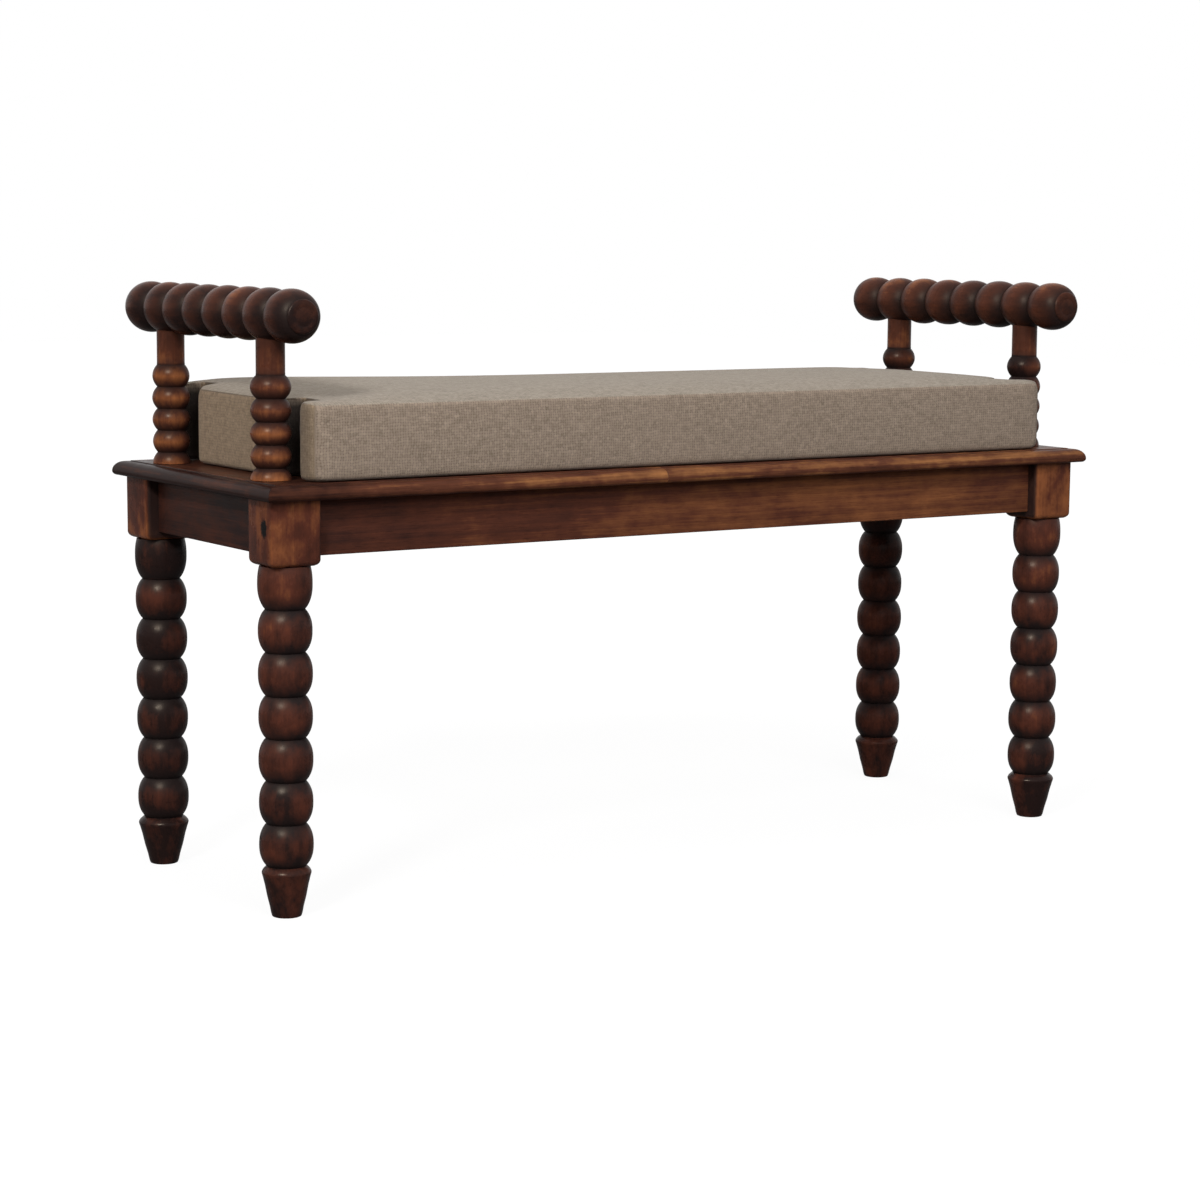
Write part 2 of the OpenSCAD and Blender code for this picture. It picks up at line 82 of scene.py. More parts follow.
# %% [markdown]
# ## A short way to write shader nodes
# A material is a small net of nodes. It could be drawn by hand in the Shader Editor, but then it
# can't be read here. This helper adds one node at a time, sets its options and its inputs, and
# joins an input to another node where it is given one.

# %% Node helper
class Net:
    def __init__(self, name):
        self.material = bpy.data.materials.new(name)
        self.material.use_nodes = True
        self.tree = self.material.node_tree
        self.shader = self.tree.nodes["Principled BSDF"]

    def add(self, kind, inputs=None, **options):
        made = self.tree.nodes.new("ShaderNode" + kind)
        for key, value in options.items():
            setattr(made, key, value)
        for key, value in (inputs or {}).items():
            self.join(value, made.inputs[key])
        return made

    def join(self, value, socket):
        if isinstance(value, bpy.types.NodeSocket):
            self.tree.links.new(value, socket)
        else:
            socket.default_value = value

    def math(self, operation, *values, clamp=False):
        made = self.tree.nodes.new("ShaderNodeMath")
        made.operation = operation
        made.use_clamp = clamp
        for socket, value in zip(made.inputs, values):
            self.join(value, socket)
        return made.outputs[0]

    def range(self, value, low, high, to_low=0.0, to_high=1.0, smooth=False):
        made = self.add("MapRange", {"Value": value, "From Min": low, "From Max": high,
                                     "To Min": to_low, "To Max": to_high})
        made.interpolation_type = "SMOOTHSTEP" if smooth else "LINEAR"
        return made.outputs[0]

    def mix(self, share, a, b, blend="MIX"):
        made = self.tree.nodes.new("ShaderNodeMix")
        made.data_type = "RGBA"
        made.blend_type = blend
        self.join(share, made.inputs[0])
        self.join(a, made.inputs[6])
        self.join(b, made.inputs[7])
        return made.outputs[2]

    def noise(self, vector, scale, detail=2.0, rough=0.5):
        made = self.add("TexNoise", {"Vector": vector, "Scale": scale, "Detail": detail,
                                     "Roughness": rough})
        return made.outputs["Fac"]

    def stretch(self, vector, scale):
        return self.add("VectorMath", {0: vector, 1: scale}, operation="MULTIPLY").outputs[0]

    def fact(self, name, output="Fac"):
        """A number or a vector that is kept on the mesh under this name."""
        return self.add("Attribute", attribute_name=name).outputs[output]

    def place(self):
        """The point's own place on its object, in metres."""
        return self.add("TexCoord").outputs["Object"]


print("a Net can:", ", ".join(name for name in vars(Net) if not name.startswith("_")))

# %% [markdown]
# A colour picked on a screen is bent for the eye. Shaders reckon with the amount of light itself,
# so each colour is straightened first. This could be left to a colour picker, but written down it
# stays with the number that it belongs to.

# %% Colours
def linear(red, green, blue):
    """Turns a screen's colour, 0 to 255, into the linear colour that a shader wants."""
    def one(value):
        value = value / 255
        return value / 12.92 if value <= 0.04045 else ((value + 0.055) / 1.055) ** 2.4
    return (one(red), one(green), one(blue), 1.0)


print("a screen's middle grey of 128 is a light of %.3f" % linear(128, 128, 128)[0])

# %% [markdown]
# ## Stained wood
# The bench is stained dark and varnished. A picture of wood could be wrapped round each part, but
# it would show seams on the turned ones. Here the grain fills space instead, as it does in a tree:
# rings round a line that stands for the heart, and fibres, streaks and short dark pores along it.
# Noise that is drawn out along the plank gives each of them.
# A mesh tells the shader three facts about each of its points: "grain" is the point's place in its
# plank, "hollow" is how deep it lies in a groove, and on a leg's head how far onto an inner face,
# and "tone" is how light its piece is, with painted light and shade added on some parts.

# %% Grain
# each layer: what its place along the plank is multiplied by, then scale, detail, roughness
GRAIN_LAYERS = {"fibres": (0.035, 620, 3, 0.6), "streaks": (0.06, 130, 3, 0.55),
                "pores": (0.05, 1500, 1, 0.5), "patches": (0.45, 22, 2, 0.5),
                "mottle": (0.7, 75, 3, 0.6)}


def grain_layers(net, place):
    layers = {name: net.noise(net.stretch(place, (1, 1, along)), scale, detail, rough)
              for name, (along, scale, detail, rough) in GRAIN_LAYERS.items()}
    wave = net.add("TexWave", {"Vector": net.stretch(place, (1, 1, 0.10)), "Scale": 46,
                               "Distortion": 7, "Detail": 2.5, "Detail Scale": 0.35,
                               "Detail Roughness": 0.5},
                   wave_type="RINGS", rings_direction="Z", wave_profile="SAW")
    layers["rings"] = wave.outputs["Fac"]
    return layers


print("the grain is made of rings and of", ", ".join(GRAIN_LAYERS))

# %% [markdown]
# The stain has soaked in unevenly, so broad soft patches are lighter. One number from 0 to 1 says
# how light the wood is at a point. The layers of the grain push it up or down, a groove pulls it
# down, partly for the dark stain that the polish has left there and partly as painted shade, and
# the piece's own tone shifts all of it.

# %% Lightness of the stain
MIDDLE_TONE = 0.42
# a groove's darkening is dark stain and painted shade
GROOVE_DARKER = 0.30
RING_SWING, STREAK_SWING, FIBRE_SWING, MOTTLE_SWING, PATCH_SWING = 0.06, 0.13, 0.08, 0.20, 0.28


def stain_lightness(net, layers, hollow, tone, figure, blotch):
    amount = net.math("MULTIPLY", net.range(layers["rings"], 0, 1, -1, 1), RING_SWING * figure)
    for name, low, high, swing in (("streaks", 0.3, 0.7, STREAK_SWING * figure),
                                   ("fibres", 0.3, 0.7, FIBRE_SWING * figure),
                                   ("mottle", 0.3, 0.7, MOTTLE_SWING * blotch),
                                   ("patches", 0.32, 0.68, PATCH_SWING * blotch)):
        amount = net.math("ADD", amount, net.range(layers[name], low, high, -swing, swing))
    amount = net.math("SUBTRACT", amount, net.math("MULTIPLY", hollow, GROOVE_DARKER))
    return net.math("ADD", amount, net.math("ADD", tone, MIDDLE_TONE), clamp=True)


print("at most, patches change the lightness by", PATCH_SWING, "and rings by", RING_SWING)

# %% [markdown]
# The number then picks a colour between a dark, a red and a golden stain. Pores get a fourth,
# nearly black one, and grooves and the inner faces of the leg heads get it as painted shade, the
# grooves also as dark stain. A knot could be painted on, but a small soft ball in space, its edge
# made ragged by noise, does the same and stays in its place on the wood.

# %% Stained wood
RED_AT = 0.55
PORE_SHARE, GROOVE_SHARE = 0.35, 0.85
KNOT_DARK = linear(16, 13, 13)


def add_knot(net, colour, centre, wide, high):
    where = net.place()
    away = net.add("VectorMath", {0: where, 1: centre}, operation="SUBTRACT").outputs[0]
    away = net.stretch(away, (1 / wide, 1 / wide, 1 / high))
    wobble = net.math("MULTIPLY", net.noise(where, 300, 2), 0.6)
    length = net.add("VectorMath", {0: away}, operation="LENGTH").outputs["Value"]
    dark = net.range(net.math("ADD", length, wobble), 0.9, 1.4, 1, 0, True)
    return net.mix(dark, colour, KNOT_DARK)


def stained_wood(name, stains, figure=1.0, blotch=1.0, gloss=0.42, shine=0.065, knots=(),
                 raw=False):
    """stains are the dark, red, golden and deep colours; raw wood has no groove and no tone."""
    net = Net(name)
    dark, red, golden, deep = (linear(*stain) for stain in stains)
    place = net.place() if raw else net.fact("grain", "Vector")
    hollow, tone = (0.0, 0.0) if raw else (net.fact("hollow"), net.fact("tone"))
    layers = grain_layers(net, place)
    amount = stain_lightness(net, layers, hollow, tone, figure, blotch)
    colour = net.mix(net.range(amount, 0, RED_AT), dark, red)
    colour = net.mix(net.range(amount, RED_AT, 1), colour, golden)
    colour = net.mix(net.range(layers["pores"], 0.60, 0.70, 0, PORE_SHARE * figure), colour, deep)
    # grooves get dark stain and painted shade here, a leg head's inner faces painted shade
    colour = net.mix(net.math("MULTIPLY", hollow, GROOVE_SHARE), colour, deep)
    for centre, wide, high in knots:
        colour = add_knot(net, colour, centre, wide, high)
    net.join(colour, net.shader.inputs["Base Color"])
    rough = net.range(layers["mottle"], 0.3, 0.7, gloss - 0.05, gloss + 0.05)
    rough = net.math("ADD", rough, net.math("MULTIPLY", hollow, 0.25))
    net.join(rough, net.shader.inputs["Roughness"])
    net.shader.inputs["Specular IOR Level"].default_value = shine
    height = net.math("ADD", net.math("MULTIPLY", layers["fibres"], 0.6),
                      net.math("MULTIPLY", layers["pores"], -0.5))
    bump = net.add("Bump", {"Height": height, "Strength": 0.22, "Distance": 0.0006})
    net.join(bump.outputs[0], net.shader.inputs["Normal"])
    return net.material


print("above a lightness of", RED_AT, "the red stain turns golden")

# %% [markdown]
# All the bench is one kind of wood in one stain, and one material could serve for all of it. But
# the turned parts are smoother and glossier than the boards, and the seat board shows the boldest
# grain. So the same recipe is mixed four times. The front left leg has a small knot in its head.

# %% Four woods for the bench
leg_wood = stained_wood("leg_wood", [(40, 27, 25), (90, 49, 37), (146, 88, 54), (34, 29, 29)],
                        figure=0.5, gloss=0.27,
                        knots=[((-0.4905, -0.1465, 0.3715), 0.0072, 0.0100)])
apron_wood = stained_wood("apron_wood", [(43, 30, 29), (88, 50, 38), (138, 86, 54), (16, 11, 10)],
                          figure=0.9, blotch=0.45, shine=0.04)
seat_wood = stained_wood("seat_wood", [(38, 21, 18), (92, 54, 39), (160, 108, 66), (18, 12, 11)],
                         figure=1.1, blotch=0.55, gloss=0.34, shine=0.04)
arm_wood = stained_wood("arm_wood", [(36, 22, 20), (90, 51, 37), (160, 98, 58), (35, 27, 26)],
                        figure=0.5, blotch=0.62, gloss=0.26, shine=0.055)
print("the leg wood is made of", len(leg_wood.node_tree.nodes), "nodes")

# %% [markdown]
# ## Turned wood
# A turned part is a line spun about its axis, as a lathe does it. The line could be a curve with a
# Screw modifier, but the stain has to know how deep each point lies in its groove, and that is
# easiest to write down while the line is drawn. Each bead is a full, slightly square curve that
# drops steeply into a sharp groove. A turner works by eye, so every bead differs by a fraction of
# a millimetre; a fixed seed keeps the same small errors each time.

# %% Beads
BEAD_STEPS = 12
GROOVE_SLIP = 0.25
THINNER, FATTER = -0.35, 0.1
chance = random.Random(7)


def bead(radius, groove, low, high, middle=None, power=2.4, ease=0.85, clean=0.2, top=None):
    """Points (radius, height, hollow) up one bead, from the groove at low to the groove at high.
    power and ease shape its curve, clean is the share that holds no dark stain and no painted
    shade, and top cuts it."""
    middle = (low + high) / 2 if middle is None else middle
    points = []
    for k in range(-BEAD_STEPS, BEAD_STEPS + 1):
        t = math.sin(math.pi / 2 * abs(k) / BEAD_STEPS)
        half = (high if k > 0 else low) - middle
        drop = (radius - groove) * (1 - (1 - t ** power) ** ease)
        height = middle + t * half
        if top is not None and height > top:
            break
        hollow = max(0, (t - clean) / (1 - clean)) ** (1.2 + 2.5 * clean)
        points.append((radius - drop, height, hollow))
    return points


def row_of_beads(radius, groove, low, pitch, count, **curve):
    """A row of beads whose grooves and widths are a little off, as by hand."""
    marks = [low + i * pitch for i in range(count + 1)]
    slipped = [m + chance.uniform(-GROOVE_SLIP, GROOVE_SLIP) for m in marks[1:-1]]
    marks = [marks[0]] + slipped + [marks[-1]]
    points = []
    for a, b in zip(marks, marks[1:]):
        one = bead(radius + chance.uniform(THINNER, FATTER), groove, a, b, **curve)
        points += one[0 if not points else 1:]
    return points


trial_bead = bead(radius=26, groove=19, low=0, high=40)
print("a bead is a line of", len(trial_bead), "points")

# %% [markdown]
# The line is spun into rings of points, and neighbouring rings are skinned with four-sided faces.
# Where the line starts or ends on the axis there is one point instead of a ring, and triangles
# close the part.

# %% Spinning
def spin(outline, sides=72):
    """Points, faces and hollows of a line of (radius, height, hollow), spun about Z."""
    points, hollows, rings, faces = [], [], [], []
    for radius, height, hollow in outline:
        count = 1 if radius < 1e-6 else sides
        rings.append([len(points) + k for k in range(count)])
        for k in range(count):
            turn = 2 * math.pi * k / sides
            points.append((radius * math.cos(turn), radius * math.sin(turn), height))
            hollows.append(hollow)
    for low, high in zip(rings, rings[1:]):
        for k in range(sides):
            j = (k + 1) % sides
            if len(low) == 1:
                faces.append((low[0], high[j], high[k]))
            elif len(high) == 1:
                faces.append((low[k], low[j], high[0]))
            else:
                faces.append((low[k], low[j], high[j], high[k]))
    return points, faces, hollows


def stand_at(points, centre):
    """The same points, moved from the origin to a place on the seat or the floor."""
    return [(p[0] + centre[0], p[1] + centre[1], p[2]) for p in points]


print("once it is spun, that bead has", len(spin(trial_bead)[0]), "points")

# %% [markdown]
# ## From points to a piece of wood
# Every wooden piece goes through one function. It makes the mesh, keeps the three facts for the
# shader on its points, and says which CAD part the piece stands for. The facts could be vertex
# colours, but named attributes may go below 0 and above 1. Each piece is cut from its own plank,
# so the heart of the tree lies at another place in each.

# %% Wooden pieces
# the axes of the object that run across the plank, and last the one that runs along it
GRAIN_ORDER = {"X": (1, 2, 0), "Y": (0, 2, 1), "Z": (0, 1, 2)}


def keep_on_mesh(mesh, name, values, domain="POINT"):
    """Keeps a number or a vector for each point or face corner, for the shader to read."""
    values = np.asarray(values, np.float32)
    kind, key = ("FLOAT_VECTOR", "vector") if values.ndim == 2 else ("FLOAT", "value")
    mesh.attributes.new(name, kind, domain).data.foreach_set(key, values.ravel())


def tones(tone, points):
    """The tone at each point, from one number, a function of the point, or a ready list."""
    if isinstance(tone, list):
        return tone
    return [tone(p) if callable(tone) else tone for p in points]


def wooden_piece(name, points, faces, material, along="Z", centre=(0, 0, 0), tone=0.0,
                 hollows=None, sharp=38):
    """Makes the piece that stands for the CAD part called name, from points in millimetres."""
    mesh = bpy.data.meshes.new("dressed_" + name)
    mesh.from_pydata([tuple(v * MM for v in p) for p in points], [], faces)
    mesh.shade_smooth()
    mesh.set_sharp_from_angle(angle=math.radians(sharp))
    order = GRAIN_ORDER[along]
    heart = (chance.uniform(0.02, 0.05), chance.uniform(-0.05, -0.02), chance.uniform(0, 9))
    keep_on_mesh(mesh, "grain",
                 np.array([[(p[o] - centre[o]) * MM for o in order] for p in points]) + heart)
    keep_on_mesh(mesh, "hollow", np.zeros(len(points)) if hollows is None else hollows)
    keep_on_mesh(mesh, "tone", tones(tone, points))
    piece = bpy.data.objects.new("dressed_" + name, mesh)
    scene.collection.objects.link(piece)
    mesh.materials.append(material)
    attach(piece, "bench")
    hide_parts(name)
    return piece


print("for a plank along X, the grain takes the object's axes in the order", GRAIN_ORDER["X"])

# %% [markdown]
# ## The legs
# A leg is one length of square stock. Its top stays square, with rounded edges, where the aprons
# are let in. A cube with a Bevel modifier would do for this head, but its lower edges are rounded
# more than its upper ones, so it is a stack of rounded squares that grow and shrink.

# %% The square head of a leg
BLOCK_LOW, BLOCK_HIGH, BLOCK_HALF = 335.5, 398.0, 26.0
ROUND_OVER, EDGE_BREAK = 6, 0.6
LOW_CORNER, HIGH_CORNER, TOP_CORNER = 4.5, 4.0, 3.6
ARC_STEPS = 5


def rounded_square(half, corner, z):
    points = []
    for turn, (sx, sy) in enumerate([(1, 1), (-1, 1), (-1, -1), (1, -1)]):
        for k in range(ARC_STEPS + 1):
            a = math.pi / 2 * (turn + k / ARC_STEPS)
            points.append((sx * (half - corner) + corner * math.cos(a),
                           sy * (half - corner) + corner * math.sin(a), z))
    return points


def stack(rings):
    """Skins closed rings of equal length from below, with a flat face at each end."""
    count = len(rings[0])
    points = [p for ring in rings for p in ring]
    faces = [tuple(reversed(range(count)))]
    for r in range(len(rings) - 1):
        for k in range(count):
            j = (k + 1) % count
            low, high = r * count, (r + 1) * count
            faces.append((low + k, low + j, high + j, high + k))
    faces.append(tuple(range(len(points) - count, len(points))))
    return points, faces


def leg_block():
    rings = []
    for k in range(ARC_STEPS + 1):
        a = math.pi / 2 * k / ARC_STEPS
        rings.append(rounded_square(BLOCK_HALF - ROUND_OVER * (1 - math.sin(a)), LOW_CORNER,
                                    BLOCK_LOW + ROUND_OVER * (1 - math.cos(a))))
    rings.append(rounded_square(BLOCK_HALF, HIGH_CORNER, BLOCK_HIGH - EDGE_BREAK))
    rings.append(rounded_square(BLOCK_HALF - EDGE_BREAK, TOP_CORNER, BLOCK_HIGH))
    return stack(rings)


print("the head of a leg has", len(leg_block()[0]), "points")

# %% [markdown]
# Below the square come a large bead, six full beads and a tapered foot with a rim. They are one
# turned line. No simple curve has the foot's taper and its rounded rim, so the foot is drawn point
# by point. The front left one is slimmer than the others, so the rim may be given.

# %% The turned shaft of a leg
SHAFT_RADIUS, SHAFT_GROOVE = 26.0, 18.7
NECK, SHAFT_PITCH, SHAFT_BEADS = 49, 245 / 6, 6
TOP_BEAD_LOW, TOP_BEAD_MIDDLE, TOP_BEAD_HIGH, SHAFT_TOP = 294, 318, 346, 337.5
FOOT_TIP, FOOT_RIM = 14.1, 25.3
FOOT_LINE = [(13.2, 0), (13.9, 0.3), (14.3, 1.2), (15.0, 3), (16.6, 10), (19.5, 20), (22.0, 31),
             (24.3, 39), (25.1, 41.3), (25.3, 42.6), (25.0, 43.8), (23.8, 45.6), (21.8, 47.4),
             (20.0, 48.8)]


def foot_line(rim):
    """The tapered foot, from the floor up to its neck."""
    share = (rim - FOOT_TIP) / (FOOT_RIM - FOOT_TIP)
    return [(0, 0, 0)] + [(FOOT_TIP + (r - FOOT_TIP) * share, z, 0) for r, z in FOOT_LINE]


def leg_shaft(rim):
    line = foot_line(rim)
    line += row_of_beads(SHAFT_RADIUS, SHAFT_GROOVE, NECK, SHAFT_PITCH, SHAFT_BEADS)
    line += bead(SHAFT_RADIUS, SHAFT_GROOVE, TOP_BEAD_LOW, TOP_BEAD_HIGH,
                 middle=TOP_BEAD_MIDDLE, top=SHAFT_TOP)[1:]
    line.append((0, SHAFT_TOP, 1))
    return line


print("the shaft is", SHAFT_TOP, "mm long, and", FOOT_LINE[-1][1], "mm of it are the foot")

# %% [markdown]
# The photograph shows the beads darker towards the floor, and the two inner faces of each head
# nearly black. Lamps alone could darken them, but would darken the next piece too, so both are
# painted shade in the wood's colour, as is the top bead of one leg, below its head. Each leg has
# its own tone, because no two lengths of wood take a stain alike.

# %% Four legs
LEG_X, LEG_Y = 464.5, 138.0
INNER_PAINTED_SHADE = 0.95
FOOT_PAINTED_SHADE, LOWEST_PAINTED_SHADE = -0.28, -0.22
SHADED_FROM = 296


def leg_painted_shade(z):
    """Painted shade: the beads are darker the lower they are, and the foot is darkest."""
    return LOWEST_PAINTED_SHADE * (1 - z / BLOCK_LOW) if z > NECK else FOOT_PAINTED_SHADE


def leg(name, side, back, tone, head, rim=FOOT_RIM, shade=0.0):
    """side and back are -1 or 1 and pick the corner. tone is for the beads, head for the square
    part, and shade is painted shade on the bead just below it."""
    points, faces = leg_block()
    inward = [max(-side * p[0], -back * p[1]) for p in points]
    # painted shade on the two inner faces of the head
    hollows = [INNER_PAINTED_SHADE * min(max((v - BLOCK_HALF + 2.5) / 2.0, 0), 1) for v in inward]
    turned, around, deep = spin(leg_shaft(rim))
    start = len(points)
    faces = faces + [tuple(i + start for i in f) for f in around]
    centre = (side * LEG_X, back * LEG_Y, 0)

    # the leg's tone, less painted shade towards the floor and below the head
    def stain(p):
        if p[2] >= BLOCK_LOW:
            return head
        return tone + leg_painted_shade(p[2]) - (shade if p[2] > SHADED_FROM else 0)

    return wooden_piece(name, stand_at(points + turned, centre), faces, leg_wood,
                        centre=centre, hollows=hollows + deep, tone=stain)


front_left_leg = leg("leg_front_left", -1, -1, tone=0.04, head=0.08, rim=23.6)
leg("leg_front_right", 1, -1, tone=0.09, head=0.44)
leg("leg_rear_left", -1, 1, tone=-0.20, head=0.26, shade=0.40)
leg("leg_rear_right", 1, 1, tone=0.10, head=0.10)
print("four legs of", len(front_left_leg.data.vertices), "points each")

# %% [markdown]
# ## The aprons
# The aprons are plain boards set back from the faces of the leg blocks. A plain cube would show
# edges like knives. The real ones are eased with glass-paper, so a thin line of light runs along
# each, and a small bevel gives it. Each board is then cut across into short lengths, so that its
# tone can change along it.

# %% Apron boards
APRON_EASE, APRON_ROUND, APRON_CUTS = 1.0, 3, 12


def eased_board(low, high):
    """Points and faces of a board whose edges are rounded and whose length is cut in spans."""
    work = bmesh.new()
    bmesh.ops.create_cube(work, size=1)
    for v in work.verts:
        v.co = Vector([low[i] if v.co[i] < 0 else high[i] for i in range(3)])
    bmesh.ops.bevel(work, geom=work.edges[:] + work.verts[:], offset=APRON_EASE,
                    segments=APRON_ROUND, profile=0.5, affect="EDGES")
    longest = max(range(3), key=lambda i: high[i] - low[i])
    for k in range(1, APRON_CUTS):
        place = Vector([(a + b) / 2 for a, b in zip(low, high)])
        place[longest] = low[longest] + (high[longest] - low[longest]) * k / APRON_CUTS
        facing = Vector([float(i == longest) for i in range(3)])
        bmesh.ops.bisect_plane(work, geom=work.verts[:] + work.edges[:] + work.faces[:],
                               plane_co=place, plane_no=facing)
    work.verts.index_update()
    points = [tuple(v.co) for v in work.verts]
    faces = [tuple(v.index for v in f.verts) for f in work.faces]
    work.free()
    return points, faces


trial_board = eased_board(low=(0, 0, 0), high=(100, 20, 50))
print("an eased board has", len(trial_board[0]), "points and", len(trial_board[1]), "faces")

# %% [markdown]
# Two aprons are long and two are short. The front one is darkest at its left end and lightest a
# little right of the middle. The left one hardly gets any light in the photograph, so its tone is
# painted darker, as shade.

# %% Four aprons
APRON_LOW, APRON_HIGH = 344, 398
LONG_RUN, LONG_OUTER, LONG_INNER = 438.4, 152, 132
END_RUN, END_OUTER, END_INNER = 111.9, 478.5, 458.5


def apron(name, low, high, along, tone):
    low, high = (*low, APRON_LOW), (*high, APRON_HIGH)
    points, faces = eased_board(low, high)
    wooden_piece(name, points, faces, apron_wood, along=along, tone=tone)
    print("%s is %.0f mm long" % (name, max(b - a for a, b in zip(low, high))))


def front_apron_stain(p):
    t = p[0] / 438
    return 0.26 + 0.20 * t - 0.20 * t * t


apron("apron_front", (-LONG_RUN, -LONG_OUTER), (LONG_RUN, -LONG_INNER), "X", front_apron_stain)
apron("apron_rear", (-LONG_RUN, LONG_INNER), (LONG_RUN, LONG_OUTER), "X", 0.0)
apron("apron_left", (-END_OUTER, -END_RUN), (-END_INNER, END_RUN), "Y", -0.30)
apron("apron_right", (END_INNER, -END_RUN), (END_OUTER, END_RUN), "Y", 0.0)

# %% [markdown]
# ## The seat board's frame
# Five moulded rails frame the seat. Their section has a flat top, a small step, a quarter round
# that falls to a rounded nose, and a flat underside. It could be a curve's bevel, but then its
# ends are hard to mitre. So the section is drawn as points, and swept by hand. The nose and the
# quarter round are short runs of points along a circle.

# %% The moulding's section
BORDER, THICK = 70.0, 15.0
NOSE_RADIUS, QUARTER_RADIUS = 4, 10.2
STEP_IN, STEP_TOP = 13.9, 14.4


def moulding_section():
    """The rail's section as (distance in from the nose, height), once round from the inner edge."""
    line = [(BORDER, 0.3), (BORDER - 0.3, 0), (NOSE_RADIUS, 0)]
    line += [(NOSE_RADIUS - NOSE_RADIUS * math.sin(a), NOSE_RADIUS - NOSE_RADIUS * math.cos(a))
             for a in np.linspace(0.2, math.pi / 2, 7)]
    line += [(QUARTER_RADIUS - QUARTER_RADIUS * math.cos(a),
              NOSE_RADIUS + QUARTER_RADIUS * math.sin(a))
             for a in np.linspace(0.08, math.pi / 2, 14)]
    line += [(13.4, 14.2), (STEP_IN, 13.9), (14.05, 14.5), (14.5, THICK)]
    line += [(30, THICK), (50, THICK), (BORDER - 0.4, THICK), (BORDER, THICK - 0.4)]
    return line


def shrunk(line, by):
    """The same section with every point moved inwards by a distance."""
    result = []
    count = len(line)
    for k, p in enumerate(line):
        before, after = line[k - 1], line[(k + 1) % count]
        run = (after[0] - before[0], after[1] - before[1])
        size = math.hypot(*run) or 1
        result.append((p[0] + by * run[1] / size, p[1] - by * run[0] / size))
    return result


print("the moulding's section has", len(moulding_section()), "points")

# %% [markdown]
# Each rail is the section carried along its length. At a mitre, every point of the section stops
# at its own distance from the corner, and that alone makes the slanting end. Both ends shrink by
# a third of a millimetre, so that each joint shows as a fine line. A band of painted highlight
# runs along the quarter round, the rest of the section is painted a little darker as painted
# shade, and the step above it stays dark.

# %% Border rails
UNDERSIDE = 398.0
RAIL_SPANS, END_EASE = 12, 0.3
HIGHLIGHT_AT, HIGHLIGHT_WIDTH = 9, 2.6


def painted_highlight(height):
    return 0.20 * math.exp(-((height - HIGHLIGHT_AT) / HIGHLIGHT_WIDTH) ** 2) - 0.10


def border_rail(name, half, start, end, turn, outer, tone):
    """A rail drawn along X with its nose at y = 0, then turned and moved to its side of the seat.
    start and end are "mitre" or the place of a square cut."""
    line = moulding_section()
    small = shrunk(line, END_EASE)
    stations = [(k / RAIL_SPANS, END_EASE, line) for k in range(RAIL_SPANS + 1)]
    rings = []
    for share, inside, section in [(0, 0.0, small)] + stations + [(1, 0.0, small)]:
        ring = []
        for s, h in section:
            first = (-half + s if start == "mitre" else start) + inside
            last = (half - s if end == "mitre" else end) - inside
            ring.append((first + share * (last - first), s, h))
        rings.append(ring)
    points, faces = stack(rings)
    turned = Matrix.Rotation(turn, 3, "Z")
    placed = []
    for p in points:
        q = turned @ Vector((p[0], p[1] - outer, 0))
        placed.append((q.x, q.y, UNDERSIDE + p[2]))
    in_step = [1.0 if abs(p[1] - STEP_IN) < 0.2 and p[2] < STEP_TOP else 0.0 for p in points]
    # the tone plus a band of painted highlight on the quarter round, the rest painted darker
    stain = [t + painted_highlight(p[2]) for t, p in zip(tones(tone, placed), points)]
    wooden_piece(name, placed, faces, seat_wood,
                 along="X" if abs(math.sin(turn)) < 0.5 else "Y",
                 tone=stain, hollows=in_step, sharp=32)
    print(name, "has", len(placed), "points")


# %% [markdown]
# Four corners are mitred, and the front is two lengths that meet left of the middle. The first of
# them grows lighter to the right. The left rail's edge is almost black, and its top is painted
# lighter between the posts, as a painted reflection of the cushion, than near the two corners.

# %% Five rails round the seat
HALF_LONG, HALF_DEEP, FRONT_JOINT = 500, 176, -56
FLAT_TOP = 412.4


def front_left_tone(p):
    return -0.22 + 0.58 * (p[0] + HALF_LONG) / (HALF_LONG + FRONT_JOINT)


def front_right_tone(p):
    return 0.22 - 0.10 * (p[0] - FRONT_JOINT) / (HALF_LONG - FRONT_JOINT)


def left_end_tone(p):
    if p[2] < FLAT_TOP:
        return -0.40
    # lighter between the posts: a painted reflection of the cushion
    return 0.0 if abs(p[1]) < 90 else -0.20


border_rail("border_rail_front_left", HALF_LONG, "mitre", FRONT_JOINT, 0, HALF_DEEP,
            front_left_tone)
border_rail("border_rail_front_right", HALF_LONG, FRONT_JOINT, "mitre", 0, HALF_DEEP,
            front_right_tone)
border_rail("border_rail_rear", HALF_LONG, "mitre", "mitre", math.pi, HALF_DEEP, 0.0)
border_rail("border_rail_left", HALF_DEEP, "mitre", "mitre", -math.pi / 2, HALF_LONG,
            left_end_tone)
border_rail("border_rail_right", HALF_DEEP, "mitre", "mitre", math.pi / 2, HALF_LONG, 0.1)

# %% [markdown]
# ## The arm posts
# Each arm is a fat turned rail on two short posts. A post has a half bead at the foot, four small
# beads and a plain neck that goes up into the rail. Its beads are rounder than those of the legs,
# almost balls. One post could be copied four times, but each was turned on its own, so each is
# drawn again with its own small errors. The sides that look inwards, towards the cushion, get
# painted shade and are darker, as the photograph shows them.

# %% Arm posts
POST_X, POST_Y, SEAT_Z = 464.0, 110.0, 413.0
POST_GROOVE, POST_PITCH, POST_BEADS, HALF_BEAD = 13.8, 21.8, 4, 11.4
POST_CURVE = {"power": 2.0, "ease": 0.95, "clean": 0.0}
POST_NECK = [(13.9, 512.2, 0.9), (13.8, 514, 0.3), (13.8, 520, 0), (13.8, 556, 0.3), (0, 556, 1)]
NECK_Z, INWARD_SHADE = 513, -0.35


